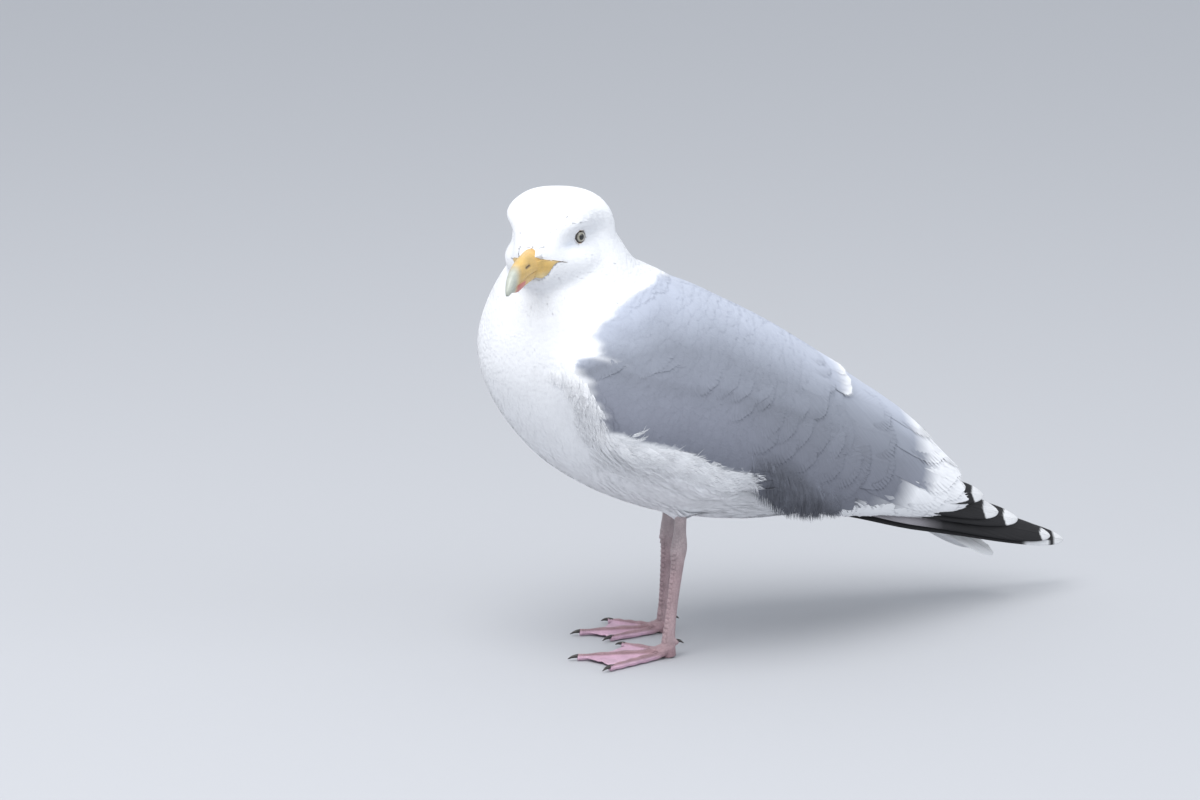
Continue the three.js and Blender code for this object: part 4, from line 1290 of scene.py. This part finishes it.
def mix_paint(base, layers):
    """Paints shares of colours one over another: layers are (share, colour)."""
    paint = np.tile(np.array(base, float), (len(layers[0][0]), 1))
    for share, colour in layers:
        share = np.asarray(share)[:, None]
        paint = paint * (1 - share) + np.array(colour) * share
    return paint


BLACK = np.array([0.012, 0.0115, 0.0135])
QUILL_WHITE = np.array([0.84, 0.85, 0.87])
PRIMARY_TIPS = [[-324, 9, 35], [-310.5, 12.4, 40], [-280, 16, 56], [-261, 19.5, 64], [-246, 22.5, 78], [-230, 24, 86]]
TIP_WHITES = [9.5, 11, 15, 16, 12, 10]  # length of each primary's white tip, the lowest and longest first
PRIMARY_BASE_GREY = [0.42, 0.40, 0.43]


def primaries(side):
    blades = []
    for i, (tip, white) in enumerate(zip(PRIMARY_TIPS, TIP_WHITES)):
        root, tip = mirrored([-118, 26 + 1.3 * i, 86 + 4.4 * i], side), mirrored(tip, side)
        p, f, along, across = quill(root, tip, 5, 20, [0.05, side * 0.86, 0.5], 0.4)
        from_tip, edge = (1 - along) * np.linalg.norm(tip - root), np.abs(across)
        white_tip = 1 - ease(from_tip + (3.0 if i else 0) * edge, white - 0.5, white + 0.5)
        grey = ease(from_tip, 96 + 4 * i, 132 + 4 * i) * (1 if i else 0.0)
        layers = [(grey, PRIMARY_BASE_GREY), (white_tip, QUILL_WHITE)]
        if i == 0:  # the outermost has a white patch along its lower edge, behind a black bar
            patch = ease(from_tip, 13.5, 15) * (1 - ease(from_tip, 36, 42)) * ease(-across * side, 0.4, 0.5)
            layers.append((patch, QUILL_WHITE))
        blades.append((p, f, along, across, mix_paint(BLACK, layers)))
    return blades


def tail_feathers():
    blades = []
    for place in np.arange(12) - 5.5:
        layer = abs(place)
        root = [-128, place * 1.2, 117 - layer * 0.5]
        tip = [-267 + layer * 0.8, place * 2.2, 36 - layer * 0.5]
        blade = quill(root, tip, 2.5, 18, [0.45, 0.1 * place, 0.89], 0.3)
        blades.append((*blade, np.tile(QUILL_WHITE, (len(blade[0]), 1))))
    return blades


quill_finish = plumage_finish("quill_white", 110.0, 0.35, 0.12, 0.0002, 0.6, shaft_tone=0.25)
black_finish = plumage_finish("quill_black", 120.0, 0.3, 0.35, 0.0003, 0.5, sheen=0.02)
for name, side in SIDES.items():
    quill_piece("primaries_" + name + "_vanes", primaries(side), black_finish, ["primaries_" + name])
quill_piece("tail_vanes", tail_feathers(), quill_finish, ["tail"])


# ------------------------------------------------------------------ bill
def section_curve(points, count):
    """A smooth half outline of a mandible's section, closed by its mirror image."""
    half = smooth_rows(points, np.linspace(0, len(points) - 1, count))
    return np.vstack([half, (half * [-1, 1])[half[:, 0] > 1e-6][::-1]])


def mandible(rows, section, along):
    share = np.linspace(rows[0, 0], rows[-1, 0], along)
    high, low, half = smooth_table(rows, share).T
    x = BILL_BASE + share * BILL_LENGTH
    shape = section_curve(section, 16)
    rings = np.empty((along, len(shape), 3))
    rings[..., 0] = x[:, None]
    rings[..., 1] = shape[None, :, 0] * half[:, None]
    rings[..., 2] = low[:, None] + (high - low)[:, None] * shape[None, :, 1]
    return rings, share


# the nostril's opening is painted dark: painted shade inside the hole
NOSTRIL = {"at": (0.47, -5.3), "length": 3.8, "height": 0.6, "depth": 1.5, "colour": [0.05, 0.03, 0.02]}
YELLOW, ORANGE, BILL_TIP, GONYS_RED = [0.68, 0.45, 0.14], [0.74, 0.41, 0.11], [0.47, 0.50, 0.44], [0.58, 0.15, 0.12]


def nostril_depth(points):
    x = (points[..., 0] - (BILL_BASE + NOSTRIL["at"][0] * BILL_LENGTH)) / NOSTRIL["length"]
    z = (points[..., 2] - NOSTRIL["at"][1] + 0.25 * x) / NOSTRIL["height"]
    return np.exp(-(x**4) - z**2)


def bill_half(rings, share):
    """The bill's points and faces, with how far along it each point is."""
    points, faces = loft(rings)
    return points, outward(points, faces), np.append(np.repeat(share, rings.shape[1]), [share[0], share[-1]])


def upper_bill():
    rings, share = mandible(UPPER_BILL, [[1, 0], [1.02, 0.3], [0.86, 0.66], [0.5, 0.92], [0, 1]], 96)
    hole = nostril_depth(rings)
    rings[..., 1] -= np.sign(rings[..., 1]) * hole * NOSTRIL["depth"]
    groove = np.exp(-(((rings[..., 2] + 3.2) / 1.4) ** 2)) * ease(0.6 - share, 0.0, 0.25)[:, None] * 0.35
    rings[..., 1] -= np.sign(rings[..., 1]) * groove
    points, faces, reach = bill_half(rings, share)
    tip = ease(reach + 0.012 * (points[:, 2] + 8), 0.66, 0.84)
    base = 1 - ease(reach, 0.0, 0.4)
    # painted shade in the nostril's hole
    dark = ease(np.append(hole.ravel(), [0, 0]), 0.25, 0.6)
    return points, faces, reach, mix_paint(YELLOW, [(base * 0.7, ORANGE), (tip, BILL_TIP), (dark, NOSTRIL["colour"])])


def lower_bill():
    rings, share = mandible(LOWER_BILL, [[0, 0], [0.38, 0.05], [0.72, 0.25], [0.96, 0.6], [1, 1]], 80)
    points, faces, reach = bill_half(rings, share)
    tip = ease(reach, 0.74, 0.86)
    spot = ease(reach, 0.50, 0.58) * (1 - ease(reach, 0.74, 0.82)) * (1 - ease(points[:, 2], -14.2, -12.8))
    base = 1 - ease(reach, 0.0, 0.4)
    return points, faces, reach, mix_paint(YELLOW, [(base * 0.5, ORANGE), (tip, BILL_TIP), (spot, GONYS_RED)])


def horn_finish(name, roughness, streak, relief):
    made, b, shader = finish(name, Roughness=roughness, Coat_Roughness=0.25, IOR=1.5, Coat_Weight=0.25)
    grain = b.use(GRAIN, {"Patch": 160.0, "Speck": 1500.0})
    _, _, height = b.parts(b.place())
    growth = b.noise(b.point(b.attribute("along") * 3.0, height * 420.0), 1.0, 3.0)
    tone = b.band(grain["Patches"], 0.3, 0.7, 1.0 - streak, 1.0) * b.band(growth, 0.3, 0.7, 1.0 - streak * 0.6, 1.0)
    coloured_with(b, shader, tone * b.band(grain["Specks"], 0.35, 0.7, 1.0 - streak * 0.5, 1.0))
    feed(shader["Roughness"], b.band(grain["Specks"], 0.3, 0.7, roughness + 0.12, roughness - 0.05))
    raised(b, shader, growth + grain["Specks"] * 0.5, relief)
    return made


bill_finish = horn_finish("bill_horn", 0.38, 0.14, 0.00012)
for name, (points, faces, reach, paint) in (("upper", upper_bill()), ("lower", lower_bill())):
    piece("bill_" + name + "_horn", from_head(points), faces, bill_finish, ["bill_" + name],
          {"along": reach}, paint)

# the mouth's dark is painted shade in the crease of the closed mouth and in its corner
GAPE_PALE, MOUTH_PAINTED_SHADE = [0.74, 0.62, 0.36], [0.13, 0.09, 0.07]


def gape(side, along=50, across=15):
    """The bare skin of the mouth's corner, with the line of the closed mouth running on behind it as a groove with
    painted shade.
    """
    rows = GAPE[::-1][0 if side == LEFT else 2:]
    x = np.linspace(rows[0, 0], rows[-1, 0], along)[:, None]
    top_y, top_z, low_y, low_z = smooth_table(rows, x[:, 0]).T[..., None]
    w = np.linspace(0, 1, across)
    y, z = top_y + (low_y - top_y) * w, top_z + (low_z - top_z) * w
    raw = from_head(np.stack([x + 0 * y, side * y, z], -1))
    placed_on, normal = on_outline(raw)
    on_bill = ease(x, 31.5, 34.5)[..., None]
    normal = unit(normal * (1 - on_bill) + np.array([0.3, side, 0.1]) @ HEAD_AXES * on_bill)
    line = np.exp(-(((z - top_z + 0.45) / 0.4) ** 2))
    height = 0.3 * np.sin(np.pi * w) ** 0.5 * ease(x, 17, 25) + 0.1 - 0.35 * line * ease(x, 20, 26)
    middle = placed_on * (1 - on_bill) + raw * on_bill
    points, faces = loft(np.concatenate([middle + normal * height[..., None], (middle - normal * 0.8)[:, ::-1]], 1))
    both = lambda grid, ends: np.append(np.concatenate([grid, grid[:, ::-1]], 1).ravel(), ends)
    # painted shade along the mouth's crease and in its corner
    dark = both(np.maximum(line * 0.6 * (1 - ease(x, 32, 37)), 1 - ease(x, 22.5, 25.5)), [1, 0])
    pale = both(np.maximum(ease(-z, 12, 16.5), 0.6 * (1 - ease(x, 25, 30))), [0, 0])
    paint = mix_paint(YELLOW, [(pale * 0.6, GAPE_PALE), (dark, MOUTH_PAINTED_SHADE)])
    return points, outward(points, faces), paint, both((x + 0 * z - BILL_BASE) / BILL_LENGTH, [0, 0])


for name, side in SIDES.items():
    points, faces, paint, reach = gape(side)
    piece("gape_" + name, points, faces, bill_finish, (), {"along": reach}, paint)


# ------------------------------------------------------------------ eyes
PUPIL, IRIS = 1.9, 3.2
IRIS_PALE, IRIS_DUSKY, PUPIL_RIM = [0.40, 0.385, 0.32], [0.20, 0.18, 0.15], [0.36, 0.33, 0.22]
PUPIL_BLACK, IRIS_EDGE = [0.004, 0.004, 0.005], [0.03, 0.025, 0.02]


def eyeball(side):
    look = mirrored(EYE_LOOK, side)
    helper = unit(np.cross(look, [0, 0, 1.0]))
    other = np.cross(look, helper)
    angle = np.concatenate([np.linspace(0.01, 0.62, 30), np.linspace(0.66, np.pi - 0.01, 20)])
    turn = np.linspace(0, 2 * np.pi, 49)[:-1]
    off_axis = EYE_RADIUS * np.sin(angle)
    front = angle < np.pi / 2
    radius = EYE_RADIUS + 0.55 * (1 - ease(off_axis, 0.8, 3.9)) * front
    ways = (np.cos(angle)[:, None, None] * look + np.sin(angle)[:, None, None]
            * (np.cos(turn)[None, :, None] * helper + np.sin(turn)[None, :, None] * other))
    points, faces = loft(ways * radius[:, None, None])
    reach = np.append(np.repeat(np.where(front, off_axis, 8.0), len(turn)), [0, 8])
    around, across = (np.append(np.tile(wave(turn), len(angle)), [0, 0]) for wave in (np.sin, np.cos))
    paint = mix_paint(IRIS_PALE, [
        (ease(reach, 2.6, 3.2) * 0.6, IRIS_DUSKY), (1 - ease(reach, PUPIL + 0.05, PUPIL + 0.5), PUPIL_RIM),
        (1 - ease(reach, PUPIL - 0.1, PUPIL + 0.1), PUPIL_BLACK), (ease(reach, IRIS - 0.1, IRIS + 0.1), IRIS_EDGE)])
    return (from_head(points + mirrored(EYE_CENTRE, side)), outward(points, faces), paint,
            {"reach": reach, "around": around, "across": across})


def eye_finish():
    made, b, shader = finish("eyeball", Roughness=0.12, Coat_Roughness=0.02, IOR=1.38, Coat_Weight=1.0)
    where = b.point(b.attribute("around") * 9.0, b.attribute("across") * 9.0, b.attribute("reach") * 0.5)
    rays = b.band(b.noise(where, 1.0, 3.0), 0.35, 0.65, 0.78, 1.08)
    coloured_with(b, shader, rays)
    feed(shader["Roughness"], b.band(rays, 0.78, 1.08, 0.16, 0.1))
    return made


eye_glass = eye_finish()
for name, side in SIDES.items():
    points, faces, paint, numbers = eyeball(side)
    piece("eyeball_" + name, points, faces, eye_glass, ["eye_" + name], numbers, paint)


# ------------------------------------------------------------------ legs and feet
TOES = {"inner": (2.9, 2), "middle": (3.1, 3), "outer": (2.9, 4)}  # radius, joints
CLAW_LENGTH = 8.5


def on_toe(foot, toe, distance):
    return foot["heel"] + unit(foot[toe] - foot["heel"]) * np.asarray(distance)[..., None]


def toe_length(foot, toe):
    return math.dist(foot["heel"], foot[toe]) - CLAW_LENGTH


# [share of the way down from the leg's upper end to the heel, z, radius]
SHANK = [[0.02, 98, 3.9], [0.1, 83, 4.1], [0.13, 77, 4.8], [0.16, 72, 5.3], [0.2, 67, 4.9], [0.26, 61, 4.1],
         [0.6, 38, 3.5], [0.82, 21, 3.6], [0.93, 12, 4.2], [1.0, 5, 4.4]]


def shank_rows(foot):
    return [[*(foot["hip"] + (foot["heel"] - foot["hip"]) * share), z, radius] for share, z, radius in SHANK]


def toe_rows(foot, toe):
    thick, joints = TOES[toe]
    length = toe_length(foot, toe) + 2.2
    rows = [[*on_toe(foot, toe, 0.0), 6.4, 4.2]]
    for j in range(joints * 2 + 1):
        share = 0.2 + 0.8 * j / (2 * joints)
        knuckle = 1.08 if j % 2 == 0 else 0.9
        height = thick * (1 - 0.3 * share) * 0.86 + 3 * max(0, 0.3 - share)
        rows.append([*on_toe(foot, toe, length * share), height, thick * (1 - 0.32 * share) * knuckle])
    return rows


def web_shape(foot, a, b, along=26, across=22):
    ends = [on_toe(foot, toe, toe_length(foot, toe) * 0.97) for toe in (a, b)]
    heel = foot["heel"]
    notch = heel + ((ends[0] + ends[1]) / 2 - heel) * 0.86
    u, w = np.linspace(0, 1, across), np.linspace(0.04, 1, along)
    edge = ends[0] * ((1 - u) ** 2)[:, None] + notch * (2 * u * (1 - u))[:, None] + ends[1] * (u**2)[:, None]
    flat = heel + (edge - heel)[None] * w[:, None, None]
    slack = np.sin(np.pi * u)[None] * w[:, None]
    fold = 0.35 * np.sin(u * 19 + 1.3 * np.sin(w * 4)[:, None]) * slack * (0.4 + 0.6 * w[:, None])
    height = 1.9 - 0.5 * slack + fold
    top = np.concatenate([flat, (height + 0.45)[..., None]], -1)
    low = np.concatenate([flat, (height - 0.45).clip(0.1)[..., None]], -1)
    return loft(np.concatenate([top, low[:, ::-1]], 1))


def hind_rows(foot, start, end, radii):
    back = unit(foot["heel"] - foot["middle"])
    stops = zip((start, (start + end) / 2, end), (11, 10.4, 8.8), radii)
    return [[*(foot["heel"] + back * distance), z, radius] for distance, z, radius in stops]


def leg_shape(foot):
    x, y = foot["heel"]
    shapes = [tube(shank_rows(foot), 60, 24), tube([[x - 1, y, 0.2, 4.6], [x, y, 7, 5.0]], 6, 20),
              tube(hind_rows(foot, 1, 7, (2.6, 2.3, 1.4)), 12, 16)]
    shapes += [tube(toe_rows(foot, toe), 48, 16) for toe in TOES]
    shapes += [web_shape(foot, "inner", "middle"), web_shape(foot, "middle", "outer")]
    mesh = fused(shapes, LEG_CELL)
    points = relax(points_of(mesh), edges_of(mesh), 3)
    points[:, 2] = np.where(points[:, 2] < 0.5, np.maximum(points[:, 2], 0.0), points[:, 2])
    return points, faces_of(mesh)


LEG_PINK, WEB_PINK, LEG_GREY = [0.39, 0.25, 0.275], [0.64, 0.42, 0.54], [0.47, 0.39, 0.40]


def leg_tints(points, foot):
    height = points[:, 2]
    low = 1 - ease(height, 3, 12)
    web = low * ease(np.linalg.norm(points[:, :2] - foot["heel"], axis=1), 6, 18) * (1 - ease(height, 2.6, 3.8))
    return mix_paint(LEG_GREY, [(ease(80 - height, 0, 30) * 0.6, LEG_PINK), (low, LEG_PINK), (web, WEB_PINK)])


def leg_finish():
    made, b, shader = finish("leg_skin", Roughness=0.5, Specular_IOR_Level=0.4)
    grain = b.use(GRAIN, {"Patch": 110.0, "Speck": 1600.0})
    edge = b.node("TexVoronoi", {"Scale": 620.0, "Vector": b.place()}, "Distance", feature="DISTANCE_TO_EDGE")
    scale = b.band(edge, 0.0, 0.12)
    coloured_with(b, shader, b.band(grain["Patches"], 0.3, 0.7, 0.86, 1.04) * (scale * 0.16 + 0.84))
    feed(shader["Roughness"], b.band(scale, 0.0, 1.0, 0.62, 0.42))
    raised(b, shader, scale + grain["Specks"] * 0.3, 0.00018)
    return made


def scute_tree(skin):
    """Overlapping horny plates set along paths. Each path point carries its girth and the way out from the limb."""
    sizes = dict.fromkeys(["Spacing", "Plate Length", "Plate Arc", "Plate Depth"], 0.0)
    b, given, sink = group("GeometryNodeTree", "leg_scutes", {"Paths": None, **sizes}, {"Scutes": "Geometry"})
    cube = b.node("GeometryNodeMeshCube", {"Size": (1, 2, 1), "Vertices X": 3, "Vertices Y": 7, "Vertices Z": 2},
                  "Mesh")
    x, y, z = b.parts(b.node("GeometryNodeInputPosition", {}))
    angle = y * given["Plate Arc"] * (1.0 - x * x * 1.2)
    reach = z * given["Plate Depth"] * (1.0 - y * y * 0.7) + 1.0
    where = b.point(x * given["Plate Length"], angle.math("SINE") * reach, angle.math("COSINE") * reach - 1.0)
    plate = b.node("GeometryNodeSetPosition", {"Geometry": cube, "Position": where})

    curve = b.node("GeometryNodeMeshToCurve", {0: given["Paths"]})
    even = b.node("GeometryNodeResampleCurve", {"Curve": curve, "Length": given["Spacing"]}, "Curve", mode="LENGTH")
    out, girth = (b.node("GeometryNodeInputNamedAttribute", {"Name": label}, "Attribute", data_type=kind)
                  for label, kind in (("out", "FLOAT_VECTOR"), ("girth", "FLOAT")))
    turn = b.node("FunctionNodeAxesToRotation", {"Primary Axis": out, "Secondary Axis": b.node(
        "GeometryNodeInputTangent", {})}, "Rotation", primary_axis="Z", secondary_axis="X")
    spread = b.node("GeometryNodeInstanceOnPoints", {"Points": even, "Instance": plate, "Rotation": turn,
                                                     "Scale": girth}, "Instances")
    real = b.node("GeometryNodeRealizeInstances", {"Geometry": spread})
    feed(sink["Scutes"], b.node("GeometryNodeSetMaterial", {"Geometry": real, "Material": skin}))
    return b.tree


def scutes(name, tree, paths, values):
    """Plates along paths of [x, y, z, girth, out x, out y, out z], in the bird's frame. Returns points and faces."""
    rows = np.vstack(paths)
    starts = np.cumsum([0] + [len(path) for path in paths])
    edges = [(i, i + 1) for a, b in zip(starts[:-1], starts[1:]) for i in range(a, b - 1)]
    mesh = plain_mesh(name, rows[:, :3], edges, [])
    for key, kind, slot, numbers in (("girth", "FLOAT", "value", rows[:, 3]), ("out", "FLOAT_VECTOR", "vector",
                                                                               rows[:, 4:7])):
        mesh.attributes.new(key, kind, "POINT").data.foreach_set(slot, numbers.astype(np.float32).ravel())
    made = placed(name, mesh)
    modifier = made.modifiers.new("scutes", "NODES")
    modifier.node_group = tree
    for item in tree.interface.items_tree:
        if item.item_type == "SOCKET" and item.in_out == "INPUT" and item.name in values:
            modifier[item.identifier] = float(values[item.name])
    bpy.context.view_layer.update()
    solid = solid_of(made)
    return points_of(solid), faces_of(solid)


PATH_STEPS = 60


def shank_path(foot):
    at = smooth_rows(shank_rows(foot), np.linspace(3.6, 8.7, PATH_STEPS))
    ahead = np.append(unit(foot["middle"] - foot["heel"]), 0)
    out = np.tile(ahead + [0, 0, 0.10], (PATH_STEPS, 1))
    return np.column_stack([at[:, :3] + ahead * (at[:, 3:4] + 0.05), at[:, 3], out])


def toe_path(foot, toe):
    rows = toe_rows(foot, toe)
    at = smooth_rows(rows, np.linspace(0.9, len(rows) - 1.2, PATH_STEPS))
    out = np.tile(np.append(unit(foot[toe] - foot["heel"]) * -0.12, 1.0), (PATH_STEPS, 1))
    return np.column_stack([at[:, :2], at[:, 2] + at[:, 3] * 0.98, at[:, 3], out])


leg_skin = leg_finish()
plates = scute_tree(leg_skin)
for name, foot in FEET.items():
    points, faces = leg_shape(foot)
    piece("leg_" + name, points, faces, leg_skin, ["shank_" + name, "foot_" + name],
          colour=leg_tints(points, foot))
    points, faces = scutes("shank_scutes_" + name, plates, [shank_path(foot)],
                           {"Spacing": 3.3, "Plate Length": 1.12, "Plate Arc": 1.15, "Plate Depth": 0.2})
    piece("shank_scutes_" + name, points, faces, leg_skin, colour=leg_tints(points, foot) * 1.05)
    points, faces = scutes("toe_scutes_" + name, plates, [toe_path(foot, toe) for toe in TOES],
                           {"Spacing": 1.9, "Plate Length": 0.95, "Plate Arc": 0.95, "Plate Depth": 0.22})
    piece("toe_scutes_" + name, points, faces, leg_skin, colour=leg_tints(points, foot) * 1.03)

claw_finish = horn_finish("claw_horn", 0.35, 0.3, 0.0001)
CLAW_DARK = np.array([0.035, 0.028, 0.026])
for name, foot in FEET.items():
    for toe in TOES:
        at = lambda share, z, r: [*on_toe(foot, toe, toe_length(foot, toe) + CLAW_LENGTH * share), z, r]
        points, faces = tube([at(-0.35, 2.3, 1.3), at(0.2, 2.9, 1.35), at(0.65, 2.4, 0.9), at(1, 1.1, 0.22)], 24, 16)
        faces = outward(points, faces)
        piece(f"nail_{name}_{toe}", points, faces, claw_finish, [f"claw_{name}_{toe}"],
              {"along": points[:, 2] * 0}, np.tile(CLAW_DARK, (len(points), 1)))
    points, faces = tube(hind_rows(foot, 5.5, 10.6, (1.0, 0.9, 0.25)), 16, 14)
    piece(f"nail_{name}_hind", points, outward(points, faces), claw_finish, [f"claw_{name}_hind"],
          {"along": points[:, 2] * 0}, np.tile(CLAW_DARK, (len(points), 1)))


# ------------------------------------------------------------------ floor, light, camera
FLOOR_RADIUS, FLOOR_SIDES, FLOOR_DROP = 14, 64, -0.0005


def floor():
    turns = np.linspace(0, 2 * math.pi, FLOOR_SIDES + 1)[:-1]
    ring = [(FLOOR_RADIUS * math.cos(a), FLOOR_RADIUS * math.sin(a), FLOOR_DROP) for a in turns]
    mesh = plain_mesh("floor", ring, [], [list(range(FLOOR_SIDES))])
    mesh.materials.append(finish("floor_paint", Roughness=0.85, Base_Color=(0.44, 0.45, 0.475, 1))[0])
    placed("floor", mesh)


def lamp(name, place, aim, size, power, colour):
    data = bpy.data.lights.new(name, "AREA")
    data.shape, data.size, data.energy, data.color = "DISK", size, power, colour
    made = placed(name, data)
    made.location = place
    made.rotation_euler = (Vector(aim) - Vector(place)).to_track_quat("-Z", "Y").to_euler()


CAMERA_AT = np.array([1798.05, 2877.48, 858.58])
CAMERA_AWAY, CAMERA_DOWN, CAMERA_TURN = math.radians(32), math.radians(11.529), math.radians(-0.6747)


def camera():
    data = bpy.data.cameras.new("camera")
    data.lens, data.sensor_width, data.sensor_fit = 157.5, 36, "HORIZONTAL"
    data.clip_start, data.clip_end = 0.1, 60
    made = placed("camera", data)
    ahead = np.array([-math.sin(CAMERA_AWAY), -math.cos(CAMERA_AWAY), 0])
    right = np.array([-math.cos(CAMERA_AWAY), math.sin(CAMERA_AWAY), 0])
    level = ahead * math.cos(CAMERA_TURN) + right * math.sin(CAMERA_TURN)
    look = level * math.cos(CAMERA_DOWN) - np.array([0, 0, math.sin(CAMERA_DOWN)])
    made.location = (CAMERA_AT + PLACE) * MM
    made.rotation_euler = Vector(look).to_track_quat("-Z", "Y").to_euler()
    bpy.context.scene.camera = made


floor()
world = bpy.data.worlds.new("studio")
bpy.context.scene.world = world
world.use_nodes = True
sky = world.node_tree.nodes["Background"].inputs
sky["Color"].default_value, sky["Strength"].default_value = (0.90, 0.94, 1.0, 1), 0.95
lamp("key_lamp", (1.5, 0.7, 2.8), (0.02, 0.02, 0.15), 2.6, 84, (1.0, 0.985, 0.965))
lamp("fill_lamp", (-1.2, 2.4, 1.6), (0.0, 0.0, 0.15), 2.0, 15, (0.94, 0.97, 1.0))
bpy.context.scene.view_settings.view_transform = "Standard"
camera()
